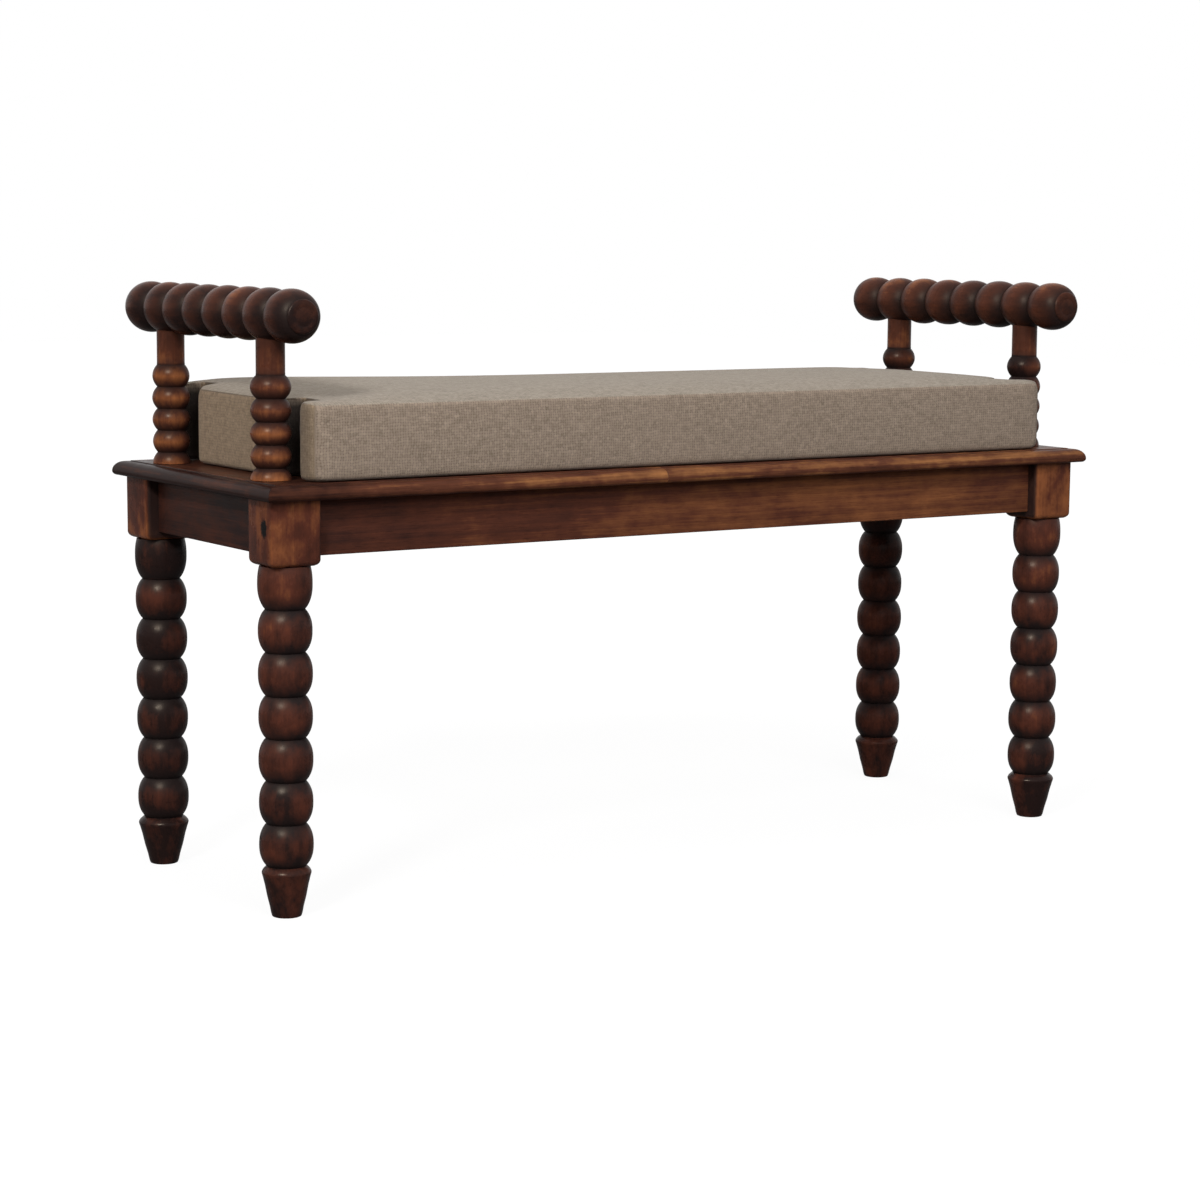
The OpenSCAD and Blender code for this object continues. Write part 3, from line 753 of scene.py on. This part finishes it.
def arm_post(name, side, back, radius, tone):
    line = [(0, SEAT_Z, 1), (radius - 0.5, SEAT_Z, 0.6)]
    foot = bead(radius, POST_GROOVE, SEAT_Z - 10.4, SEAT_Z + HALF_BEAD, **POST_CURVE)
    line += [p for p in foot if p[1] > SEAT_Z + 0.3]
    line += row_of_beads(radius, POST_GROOVE, SEAT_Z + HALF_BEAD, POST_PITCH, POST_BEADS,
                         **POST_CURVE)[1:]
    points, faces, hollows = spin(line + POST_NECK, 56)
    inward = [min(max((-side * p[0] / radius - 0.1) / 0.7, 0), 1) * (p[2] < NECK_Z)
              for p in points]
    centre = (side * POST_X, back * POST_Y, 0)
    points = stand_at(points, centre)
    # painted shade on the sides that look towards the cushion
    stain = [t + INWARD_SHADE * i for t, i in zip(tones(tone, points), inward)]
    wooden_piece(name, points, faces, arm_wood, centre=centre, tone=stain,
                 hollows=hollows)
    print(name, "has", len(points), "points")


def front_left_post_tone(p):
    """Lightest at the half bead, as a painted highlight, and darkest at the neck."""
    return 0.44 if p[2] < SEAT_Z + 9 else 0.26 if p[2] < NECK_Z else 0.14


def rear_left_post_tone(p):
    return 0.28 if p[2] < NECK_Z else 0.12


arm_post("arm_post_front_left", -1, -1, 19.6, front_left_post_tone)
arm_post("arm_post_rear_left", -1, 1, 18.7, rear_left_post_tone)
arm_post("arm_post_front_right", 1, -1, 18.7, 0.12)
arm_post("arm_post_rear_right", 1, 1, 18.7, 0.15)

# %% [markdown]
# ## The arm rails
# A rail is eight fat beads in a row, lying along Y, and each end has a shallow turned button with
# a fine ring cut into it. The ring could be a bump in the material, but a groove in the turned
# line costs nothing and shows in the mesh too. The rail is spun upright and then laid down. Its
# top is painted a little lighter than its underside, as painted light from above, and the buttons
# are a little darker.

# %% Arm rails
RAIL_Z, RAIL_RADIUS, RAIL_GROOVE = 568.0, 25.8, 15.7
RAIL_END, RAIL_PITCH, RAIL_BEADS = 176, 44, 8
RAIL_CURVE = {"power": 2.2, "ease": 0.75, "clean": 0.05}
BUTTON = [(16.3, 176.3, 0.5), (16.0, 177.1, 0.4), (15.2, 177.8, 0.35), (13.8, 178.3, 0.3),
          (12.0, 178.5, 0.3), (9.2, 178.5, 0.3), (8.9, 178.42, 0.5), (8.6, 178.5, 0.3),
          (0, 178.5, 0.3)]
TOP_PAINTED_LIGHT, BUTTON_DARKER = 0.16, 0.14


def arm_rail(name, side, tone):
    beads = row_of_beads(RAIL_RADIUS, RAIL_GROOVE, -RAIL_END, RAIL_PITCH, RAIL_BEADS, **RAIL_CURVE)
    line = [(r, -z, h) for r, z, h in reversed(BUTTON)] + beads + BUTTON
    points, faces, hollows = spin(line, 80)
    points = [(side * POST_X + p[0], p[2], RAIL_Z - p[1]) for p in points]

    def stain(p):
        on_button = abs(p[1]) > RAIL_END + 0.2
        # painted light: lighter towards the top
        return tone + TOP_PAINTED_LIGHT * (p[2] - RAIL_Z) / 26 - (BUTTON_DARKER if on_button else 0)

    wooden_piece(name, points, faces, arm_wood, along="Y",
                 centre=(side * POST_X, 0, RAIL_Z), hollows=hollows, tone=stain)
    print(name, "has", len(points), "points")


arm_rail("arm_rail_left", -1, -0.10)
arm_rail("arm_rail_right", 1, 0.02)

# %% [markdown]
# ## What stays from the CAD model
# The corner braces, the screws and the three boards of the seat panel are hidden in use. They
# could be made again as well, but their CAD shapes are right as they are. So they only get a
# finish: raw wood, a thinly stained wood, and steel with fine scratches in its shine.

# %% Hidden wood and screws
raw_wood = stained_wood("raw_wood", [(146, 112, 80), (176, 142, 104), (204, 172, 130),
                                     (96, 70, 46)], raw=True)
panel_wood = stained_wood("panel_wood", [(66, 40, 32), (98, 62, 44), (134, 94, 62), (34, 24, 20)],
                          raw=True)
steel = Net("screw_steel")
scratches = steel.noise(steel.place(), 900, 3)
steel.join(steel.mix(scratches, linear(150, 148, 144), linear(205, 203, 198)),
           steel.shader.inputs["Base Color"])
steel.join(steel.range(scratches, 0.3, 0.7, 0.28, 0.42), steel.shader.inputs["Roughness"])
steel.shader.inputs["Metallic"].default_value = 1.0


def finish_node(name, material):
    node = nodes[name]
    node.data.materials.clear()
    node.data.materials.append(material)
    print(name, "keeps its CAD shape")


for name in nodes:
    if name.startswith("corner_brace"):
        finish_node(name, raw_wood)
    elif name.startswith("panel_board"):
        finish_node(name, panel_wood)
    elif name.endswith("_screws"):
        finish_node(name, steel.material)

# %% [markdown]
# ## Linen
# The cover is a coarse plain weave. Yarns run both ways, each a little lighter or darker than its
# neighbour, and each with thick slow places in it. The yarns could be modelled, but there are
# hundreds each way. Here two numbers count the yarns across and along, and their fractions say
# where in a yarn a point lies. The count is pushed about a little first, so that no yarn runs
# quite straight.

# %% Yarns
YARN = 0.0028
DRIFT = 0.0060


def count_yarns(net, place):
    drift = net.add("TexNoise", {"Vector": place, "Scale": 45, "Detail": 3, "Roughness": 0.6})
    moved = net.stretch(drift.outputs["Color"], (DRIFT, DRIFT, 0))
    moved = net.add("VectorMath", {0: place, 1: moved}, operation="ADD").outputs[0]
    split = net.add("SeparateXYZ", {0: net.stretch(moved, (1 / YARN, 1 / YARN, 1))})
    return split.outputs[0], split.outputs[1]


def gap(net, across):
    """0 on the yarn and 1 in the gap beside it."""
    off = net.math("SUBTRACT", net.math("FRACT", across), 0.5)
    off = net.math("MULTIPLY", net.math("ABSOLUTE", off), 2.0)
    return net.range(off, 0.45, 1.0, 0, 1, True)


def yarn_shade(net, across, along, change, swing):
    """How much lighter or darker a yarn is; change is how quickly that varies along it."""
    spot = net.add("CombineXYZ", {0: net.math("MULTIPLY", net.math("FLOOR", across), 7.31),
                                  1: net.math("MULTIPLY", along, change)})
    return net.range(net.noise(spot.outputs[0], 1.0, 2, 0.6), 0.3, 0.7, -swing, swing)


print("ten centimetres of the linen hold", round(0.1 / YARN), "yarns")

# %% [markdown]
# The two sets of yarns pass over and under each other, so every other crossing is a little
# lighter, and the small holes between four yarns are darker. Fluff breaks up all of it.

# %% Weave
LINEN_DARK, LINEN_LIGHT = linear(102, 90, 76), linear(179, 165, 147)


def weave_lightness(net, place, u, v, fuzz):
    """How light the cloth is at a point, and how far it stands up there."""
    over = net.math("PINGPONG", net.math("ADD", net.math("FLOOR", u), net.math("FLOOR", v)), 1.0)
    gap_u, gap_v = gap(net, u), gap(net, v)
    crossing = net.math("MULTIPLY", gap_u, gap_v)
    open_weave = net.range(net.noise(place, 120, 3, 0.6), 0.35, 0.65, 0.12, 0.50)
    amount = net.math("ADD", yarn_shade(net, u, v, 0.40, 0.16),
                      yarn_shade(net, v, net.math("ADD", u, 900.0), 0.22, 0.13))
    amount = net.math("SUBTRACT", net.math("ADD", amount, 0.42),
                      net.math("MULTIPLY", crossing, open_weave))
    amount = net.math("SUBTRACT", amount, net.math("MULTIPLY", gap_u, 0.14))
    amount = net.math("SUBTRACT", amount, net.math("MULTIPLY", gap_v, 0.08))
    amount = net.math("ADD", amount, net.math("MULTIPLY", over, 0.06))
    amount = net.math("ADD", amount, net.range(fuzz, 0.3, 0.7, -0.05, 0.21), clamp=True)
    return amount, net.math("SUBTRACT", 1.0, crossing)


print("the linen gives back %.2f to %.2f of red light" % (LINEN_DARK[0], LINEN_LIGHT[0]))

# %% [markdown]
# Three more facts on the mesh finish the cloth. "weave" holds the place on each sewn panel, and
# its third number says which panel it is: 0 for the top and the underside, 1 for the long sides
# and 2 for the ends. Each panel is tinted with painted light for how light falls on it: the top
# lighter and cooler, the long sides and more the ends darker and warmer. "seam" is the distance
# to the nearest seam, which is drawn as a thin dark line. "recess" marks the walls of the
# notches, which lie in deep shade. Cloth scatters light from its fluff, which the shader calls
# sheen.

# %% Linen
# painted light: each panel is tinted for how light falls on it
TOP_PANEL_LIGHT, SIDE_PANEL_LIGHT = (1.02, 1.05, 1.09, 1), (0.97, 0.915, 0.91, 1)
END_PANEL_LIGHT = (0.98, 0.88, 0.76, 1)
SEAM_DARK, RECESS_DARK = linear(70, 58, 48), linear(30, 26, 26)
CLOUD_TINT = linear(150, 136, 122)


def coarse_linen(name):
    net = Net(name)
    place = net.fact("weave", "Vector")
    u, v = count_yarns(net, place)
    fuzz = net.noise(place, 1500, 2, 0.6)
    amount, raised = weave_lightness(net, place, u, v, fuzz)
    colour = net.mix(amount, LINEN_DARK, LINEN_LIGHT)
    cloud = net.range(net.noise(place, 9, 2), 0.3, 0.7, 0, 0.16)
    colour = net.mix(cloud, colour, CLOUD_TINT)
    panel = net.add("SeparateXYZ", {0: place}).outputs[2]
    # painted light for each panel
    tint = net.mix(net.range(panel, 0, 1), TOP_PANEL_LIGHT, SIDE_PANEL_LIGHT)
    tint = net.mix(net.range(panel, 1, 2), tint, END_PANEL_LIGHT)
    colour = net.mix(1.0, colour, tint, "MULTIPLY")
    seam = net.range(net.fact("seam"), 0.0004, 0.0016, 0.75, 0, True)
    colour = net.mix(seam, colour, SEAM_DARK)
    colour = net.mix(net.range(net.fact("recess"), 0, 1, 0, 0.9), colour, RECESS_DARK)
    net.join(colour, net.shader.inputs["Base Color"])
    net.shader.inputs["Roughness"].default_value = 0.95
    net.shader.inputs["Specular IOR Level"].default_value = 0.15
    net.shader.inputs["Sheen Weight"].default_value = 0.12
    net.shader.inputs["Sheen Roughness"].default_value = 0.6
    height = net.math("ADD", raised, net.math("MULTIPLY", fuzz, 0.2))
    bump = net.add("Bump", {"Height": height, "Strength": 0.6, "Distance": 0.0005})
    net.join(bump.outputs[0], net.shader.inputs["Normal"])
    return net.material


linen = coarse_linen("cushion_linen")
print("the linen is made of", len(linen.node_tree.nodes), "nodes")

# %% [markdown]
# ## The cushion
# The cushion is a foam box in a sewn cover, with a notch at each end of its long sides for the
# posts. It could be pulled into shape by hand in Sculpt Mode, but air pressure makes the swell of
# a real panel by itself. So it starts as a slightly small block with the notches cut, is covered
# with even square faces, and is blown up as cloth with its seams held.
# First comes its outline, seen from above.

# %% Cushion outline
CUSHION_LOW, CUSHION_EDGE, CUSHION_TOP = 413.3, 491.8, 494.8
HALF_X, HALF_Y, NOTCH_X, NOTCH_NEAR, NOTCH_FAR = 449.0, 163.0, 418.0, 88.0, 131.0
CORNER, NOTCH_MOUTH, NOTCH_CORNER = 18, 5, 3


def rounded_outline(corners):
    """Replaces each corner (x, y, radius) of a closed outline by a soft bend."""
    points = []
    count = len(corners)
    for k, (x, y, r) in enumerate(corners):
        here = Vector((x, y))
        before = (Vector(corners[k - 1][:2]) - here).normalized()
        after = (Vector(corners[(k + 1) % count][:2]) - here).normalized()
        for s in range(ARC_STEPS + 1):
            t = s / ARC_STEPS
            a, b = here + before * r, here + after * r
            points.append((1 - t) ** 2 * a + 2 * t * (1 - t) * here + t ** 2 * b)
    return points


def cushion_outline(inset):
    """The line runs round twice. The remesh below takes both laps as one skin."""
    x, y = HALF_X - inset, HALF_Y - inset
    n, near, far = NOTCH_X - inset, NOTCH_NEAR - inset, NOTCH_FAR + inset
    quarter = [(x, near, NOTCH_MOUTH), (n, near, NOTCH_CORNER), (n, far, NOTCH_CORNER),
               (x, far, NOTCH_MOUTH), (x, y, CORNER)]
    corners = quarter + [(-px, py, r) for px, py, r in reversed(quarter)]
    corners += [(-px, -py, r) for px, py, r in corners]
    corners += [(px, -py, r) for px, py, r in reversed(corners)]
    return rounded_outline(corners)


print("the cushion's outline has", len(cushion_outline(inset=0)), "points")

# %% [markdown]
# The block is a stack of that outline, with its upper and lower edges rounded. A Remesh modifier
# then covers it with faces of one size. Cloth needs them: long thin faces would crease.

# %% Cushion block
BLOCK_INSET, EDGE_ROUND, EDGE_STEPS = 1.5, 5, 4
VOXEL = 0.0055


def cushion_block():
    """The plain block, as rings of the outline from the underside to the top."""
    low, high = CUSHION_LOW + 1, CUSHION_EDGE - 1
    lower, upper = [], []
    for k in range(EDGE_STEPS + 1):
        a = math.pi / 2 * k / EDGE_STEPS
        outline = cushion_outline(BLOCK_INSET + EDGE_ROUND * (1 - math.cos(a)))
        in_edge = EDGE_ROUND * (1 - math.sin(a))
        lower.append([(p.x, p.y, low + in_edge) for p in outline])
        upper.append([(p.x, p.y, high - in_edge) for p in outline])
    return lower[::-1] + upper


points, faces = stack(cushion_block())
mesh = bpy.data.meshes.new("cushion")
mesh.from_pydata([tuple(v * MM for v in p) for p in points], [], faces)
cushion = bpy.data.objects.new("cushion", mesh)
scene.collection.objects.link(cushion)
even = cushion.modifiers.new("even", "REMESH")
even.mode = "VOXEL"
even.voxel_size = VOXEL
bpy.context.view_layer.update()
evaluated = cushion.evaluated_get(bpy.context.evaluated_depsgraph_get())
cushion.modifiers.clear()
cushion.data = bpy.data.meshes.new_from_object(evaluated)
print("the cushion's even mesh has", len(cushion.data.vertices), "points")

# %% [markdown]
# Before it is blown up, the block gets its crown: the top rises to its middle, its long edges
# fall, and the sides are drawn in a little between the corners. Pressure alone would swell all
# panels alike. The places of the points are kept from this moment, because the seams and the
# weave are laid out from them.

# %% Crown
END_DIP, SIDE_DIP, CROWN, SHOULDER = 0.0010, 0.0022, 0.0022, 0.0045
count = len(cushion.data.vertices)
rest = np.empty(count * 3)
cushion.data.vertices.foreach_get("co", rest)
rest = rest.reshape(-1, 3)
u, v = rest[:, 0] / (HALF_X * MM), rest[:, 1] / (HALF_Y * MM)
w = (rest[:, 2] - CUSHION_LOW * MM) / ((CUSHION_EDGE - CUSHION_LOW) * MM)
crowned = rest.copy()
crowned[:, 0] -= END_DIP * u * (1 - v ** 2)
crowned[:, 1] -= SIDE_DIP * v * (1 - u ** 2)
crowned[:, 2] += CROWN * np.clip(w, 0, 1) * (1 - u ** 8) * (1 - v ** 2)
shoulder = np.clip((np.abs(v) - 0.90) / 0.10, 0, 1) ** 2
crowned[:, 2] -= SHOULDER * np.clip(w, 0, 1) ** 8 * shoulder
cushion.data.vertices.foreach_set("co", crowned.ravel())
print("the crown moves a point by up to %.1f mm" % (np.abs(crowned - rest).max() / MM))

# %% [markdown]
# Two seams run round the sides of the cushion, near their top and their foot. They hold the cloth
# in, so the points beside them are marked here for the simulation.

# %% Seams
SEAM_TOP, SEAM_LOW = (CUSHION_EDGE - 2.5) * MM, (CUSHION_LOW + 4.5) * MM
SEAM_HOLDS = 0.0032
normals = np.empty(count * 3)
cushion.data.vertices.foreach_get("normal", normals)
on_side = np.abs(normals.reshape(-1, 3)[:, 2]) < 0.8
from_seam = np.minimum(np.abs(rest[:, 2] - SEAM_TOP), np.abs(rest[:, 2] - SEAM_LOW))
held = on_side & (from_seam < SEAM_HOLDS)
print("points held on the seams:", int(held.sum()), "of", count)

# %% [markdown]
# ## Blowing the cushion up
# Blender's cloth takes the block as a closed bag with air pressed into it. Gravity is off. After
# twenty steps each point has moved a few millimetres; that movement is softly limited, so the
# panels stay as flat as the photograph shows them. The underside rests on the seat, so it keeps
# its place. Then the result is made the mesh's own.

# %% Cloth simulation
CLOTH_STEPS, CLOTH_LIMIT, SEAM_GRIP = 20, 0.005, 0.9


def blow_up(piece, start, held, under):
    group = piece.vertex_groups.new(name="held")
    group.add([int(i) for i in np.nonzero(held)[0]], SEAM_GRIP, "REPLACE")
    cloth = piece.modifiers.new("cloth", "CLOTH")
    settings = cloth.settings
    settings.quality = 4
    settings.mass = 0.3
    settings.tension_stiffness = settings.compression_stiffness = 25
    settings.shear_stiffness = 12
    settings.bending_stiffness = 1.2
    settings.use_pressure = True
    settings.uniform_pressure_force = 4.0
    settings.effector_weights.gravity = 0
    settings.vertex_group_mass = "held"
    cloth.collision_settings.use_collision = False
    cloth.point_cache.frame_start = 1
    cloth.point_cache.frame_end = CLOTH_STEPS
    for number in range(1, CLOTH_STEPS + 1):
        scene.frame_set(number)
    blown = piece.evaluated_get(bpy.context.evaluated_depsgraph_get())
    found = np.empty(len(blown.data.vertices) * 3)
    blown.data.vertices.foreach_get("co", found)
    piece.modifiers.clear()
    scene.frame_set(1)
    moved = found.reshape(-1, 3) - start
    moved[under] = 0
    far = np.linalg.norm(moved, axis=1, keepdims=True)
    print("the cloth moved by up to %.1f mm" % (far.max() / MM))
    return start + moved / np.maximum(far, 1e-9) * CLOTH_LIMIT * np.tanh(far / CLOTH_LIMIT)


under = rest[:, 2] < (CUSHION_LOW + 3) * MM
placed = blow_up(cushion, crowned, held, under)

# %% [markdown]
# ## Fitting the cushion
# The bag is brought back to its measured length, depth and height. In the photograph the far left
# part of its top also stands a little fuller than the rest. More pressure would lift all of the
# top alike, so these points are lifted by a rule that fades out towards the edges.

# %% Fit
FULLER = 0.007
low, high = placed.min(0), placed.max(0)
goal_low = np.array([-HALF_X, -HALF_Y, CUSHION_LOW]) * MM
goal_high = np.array([HALF_X, HALF_Y, CUSHION_TOP]) * MM
placed = goal_low + (placed - low) * (goal_high - goal_low) / (high - low)
x, y = rest[:, 0] / MM, rest[:, 1] / MM
to_left = np.clip(-x / 400, 0, 1) ** 2 * (1 - np.exp(-(HALF_X + x) / 14))
to_rear = np.clip((y + HALF_Y) / 250, 0, 1) ** 2 * (1 - np.exp(-(HALF_Y - y) / 14))
placed[:, 2] += FULLER * np.clip(w, 0, 1) ** 8 * to_left * to_rear
cushion.data.vertices.foreach_set("co", placed.ravel())
print("the cushion is", [round(float(v) / MM, 1) for v in placed.max(0) - placed.min(0)], "mm")

# %% [markdown]
# Now the facts for the linen are kept on the points, before the mesh gets finer. Seams show only
# on the ends. The notches lie in such deep shade in the photograph that a lamp's shadow is not
# enough, so their walls are marked, and the ends beside them are marked half as much.

# %% Seams and notches
SEAM_FAR = 0.05
EAR_SHADE = 0.46
long_side = np.abs(rest[:, 1]) > (HALF_Y - 14) * MM
keep_on_mesh(cushion.data, "seam", np.where(on_side & ~long_side, from_seam, SEAM_FAR))

wide, deep = np.abs(rest[:, 0]) / MM, np.abs(rest[:, 1]) / MM
into = np.clip((HALF_X - 3 - wide) / 9, 0, 1) * (wide > NOTCH_X - 6)
into *= np.clip((CUSHION_EDGE - 4 - rest[:, 2] / MM) / 4, 0, 1)
in_notch = on_side & (deep > NOTCH_NEAR - 5) & (deep < NOTCH_FAR + 5)
ear_end = EAR_SHADE * np.clip((wide - HALF_X + 11) / 8, 0, 1) * (on_side & (deep > NOTCH_FAR))
keep_on_mesh(cushion.data, "recess", np.maximum(np.where(in_notch, into, 0), ear_end))
keep_on_mesh(cushion.data, "rest", rest)
print("points in the notches:", int(in_notch.sum()))

# %% [markdown]
# One step of subdivision rounds off the small facets that the even mesh leaves. It also carries
# the kept facts over to the new points.

# %% Smooth
finer = cushion.modifiers.new("finer", "SUBSURF")
finer.levels = finer.render_levels = 1
bpy.context.view_layer.update()
graph = bpy.context.evaluated_depsgraph_get()
smooth = bpy.data.meshes.new_from_object(cushion.evaluated_get(graph),
                                         preserve_all_data_layers=True, depsgraph=graph)
cushion.modifiers.clear()
cushion.data = smooth
smooth.shade_smooth()
print("the cushion has", len(smooth.vertices), "points and the facts",
      [a.name for a in smooth.attributes])

# %% [markdown]
# The weave is laid on each panel from the kept places. A UV map would do it too, but the remesh
# has removed it. The top and the underside take their weave from their length and depth, the
# sides from their length and height. First each face is given to a panel by where it looks.

# %% Panels
corner_point = np.empty(len(smooth.loops), int)
smooth.loops.foreach_get("vertex_index", corner_point)
kept = np.empty(len(smooth.vertices) * 3, np.float32)
smooth.attributes["rest"].data.foreach_get("vector", kept)
spot = kept.reshape(-1, 3)[corner_point]

face_normal = np.empty(len(smooth.polygons) * 3)
smooth.polygons.foreach_get("normal", face_normal)
face_normal = np.abs(face_normal.reshape(-1, 3))
face_size = np.empty(len(smooth.polygons), int)
smooth.polygons.foreach_get("loop_total", face_size)
looks_sideways = np.where(face_normal[:, 1] > face_normal[:, 0], 1, 2)
panel = np.repeat(np.where(face_normal[:, 2] > 0.66, 0, looks_sideways), face_size)
panel = np.where((panel == 1) & (np.abs(spot[:, 0]) > (HALF_X - 8) * MM), 2, panel)
print("face corners on the top and underside, long sides, ends:", np.bincount(panel))

# %% [markdown]
# Each panel's weave starts at a place of its own, so no yarn runs on over a seam. At a rounded
# corner the cloth goes round, so its length is counted round the corner too.

# %% Weave on each panel
SIDE_START, END_START = (0.0, 3.0, 1), (7.0, 5.0, 2)
round_corner = np.sign(spot[:, 1]) * (np.abs(spot[:, 1]) + HALF_X * MM - np.abs(spot[:, 0]))
weave = np.zeros((len(spot), 3), np.float32)
weave[panel == 0] = spot[panel == 0][:, [0, 1, 1]] * (1, 1, 0)
weave[panel == 1] = spot[panel == 1][:, [0, 2, 1]] * (1, 1, 0) + SIDE_START
at_ends = np.stack([round_corner, spot[:, 2], spot[:, 2] * 0], 1)
weave[panel == 2] = at_ends[panel == 2] + END_START
keep_on_mesh(smooth, "weave", weave, "CORNER")
cushion.name = "dressed_cushion"
smooth.materials.append(linen)
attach(cushion, "cushion")
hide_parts("cushion_cover", "cushion_foam")
print("the weave has about", round(2 * HALF_X * MM / YARN), "yarns across its length")

# %% [markdown]
# ## Floor
# The photograph has a pure white ground. Strong lamps could burn the floor white, but would burn
# the linen too. So the floor is a dull grey paper that glows by itself where the camera looks at
# it, white, with a faint shadow round the bench. To a reflection it glows at a fifth of that,
# because a bright floor greys every dark face that mirrors it.

# %% Floor
PAPER_DARK, PAPER_LIGHT = (0.10, 0.10, 0.10, 1), (0.12, 0.12, 0.12, 1)
MIRRORED_GLOW, GLOW_UNDER, GLOW_AWAY = 0.2, 0.93, 1.0
floor_mesh = bpy.data.meshes.new("floor")
floor_mesh.from_pydata([(-8, -8, 0), (8, -8, 0), (8, 12, 0), (-8, 12, 0)], [], [(0, 1, 2, 3)])
floor = bpy.data.objects.new("floor", floor_mesh)
scene.collection.objects.link(floor)
paper = Net("floor_paper")
grit = paper.noise(paper.place(), 3, 2)
paper.join(paper.mix(grit, PAPER_DARK, PAPER_LIGHT), paper.shader.inputs["Base Color"])
paper.shader.inputs["Roughness"].default_value = 1.0
paper.shader.inputs["Specular IOR Level"].default_value = 0.0
paper.shader.inputs["Emission Color"].default_value = (1, 1, 1, 1)
path = paper.add("LightPath").outputs
mirrored = paper.math("MULTIPLY", path["Is Glossy Ray"], MIRRORED_GLOW)
seen = paper.math("MAXIMUM", path["Is Camera Ray"], mirrored)
seen = paper.math("MAXIMUM", seen, path["Is Transmission Ray"])
reach = paper.add("VectorMath", {0: paper.place()}, operation="LENGTH").outputs["Value"]
glow = paper.range(reach, 0.5, 1.8, GLOW_UNDER, GLOW_AWAY, True)
paper.join(paper.math("MULTIPLY", seen, glow), paper.shader.inputs["Emission Strength"])
floor_mesh.materials.append(paper.material)
print("the floor is", tuple(round(v) for v in floor.dimensions[:2]), "metres")

# %% [markdown]
# ## The air round the bench
# The world is white to the camera and in reflections. As a light it is much weaker, and only
# fills the shadows. One number does both: it is 1 where any of the three kinds of ray asks, and
# small for the rays that carry light.

# %% World
WORLD_FILL = 0.24
world = bpy.data.worlds.new("studio")
world.use_nodes = True
scene.world = world
sky = world.node_tree
background = sky.nodes["Background"]
glance = sky.nodes.new("ShaderNodeLightPath")
strength = sky.nodes.new("ShaderNodeMapRange")
strength.inputs["To Min"].default_value = WORLD_FILL
strength.inputs["To Max"].default_value = 1.0
seen = glance.outputs["Is Camera Ray"]
for other in ("Is Glossy Ray", "Is Transmission Ray"):
    either = sky.nodes.new("ShaderNodeMath")
    either.operation = "MAXIMUM"
    sky.links.new(seen, either.inputs[0])
    sky.links.new(glance.outputs[other], either.inputs[1])
    seen = either.outputs[0]
sky.links.new(seen, strength.inputs["Value"])
sky.links.new(strength.outputs[0], background.inputs["Strength"])
background.inputs["Color"].default_value = (1, 1, 1, 1)
print("the world lights the bench at", WORLD_FILL, "of the white that the camera sees")

# %% [markdown]
# ## Lamps
# The light comes from a window at the upper left, with a broad soft lamp in front, one overhead
# and a faint warm wall at the left. Such broad lamps also mirror as broad grey veils in dark
# varnish. So these four light the wood but are hidden from its shine, and one small lamp beside
# the window is seen only in the shine: it gives each bead its small warm highlight.

# %% Lamps
MIDDLE_OF_BENCH = (0, 0, 0.4)
WARM_GLINT, WARM_WALL = (1.0, 0.84, 0.66), (1.0, 0.78, 0.56)


def soft_lamp(name, place, size, power, tint=(1, 1, 1), seen_by="diffuse"):
    data = bpy.data.lights.new(name, "AREA")
    data.shape = "RECTANGLE"
    data.size, data.size_y = size
    data.energy = power
    data.color = tint
    lamp = bpy.data.objects.new(name, data)
    scene.collection.objects.link(lamp)
    away = Vector(place) - Vector(MIDDLE_OF_BENCH)
    turn = away.to_track_quat("Z", "Y").to_matrix().to_4x4()
    lamp.matrix_world = Matrix.Translation(place) @ turn
    lamp.visible_diffuse = seen_by == "diffuse"
    lamp.visible_glossy = seen_by == "glossy"
    print("lamp", name, "of", power, "W,", round(away.length, 1), "m away")


soft_lamp("window", (-2.7, -2.0, 2.5), (0.6, 0.6), 66)
soft_lamp("glint", (-2.7, -2.0, 2.6), (0.5, 0.5), 340, WARM_GLINT, seen_by="glossy")
soft_lamp("front", (-0.5, -3.4, 2.2), (2.6, 2.0), 71)
soft_lamp("overhead", (0.2, 0.2, 3.4), (2.6, 1.6), 30)
soft_lamp("warm_wall", (-3.0, 0.4, 0.9), (1.6, 1.6), 10, WARM_WALL)

# %% [markdown]
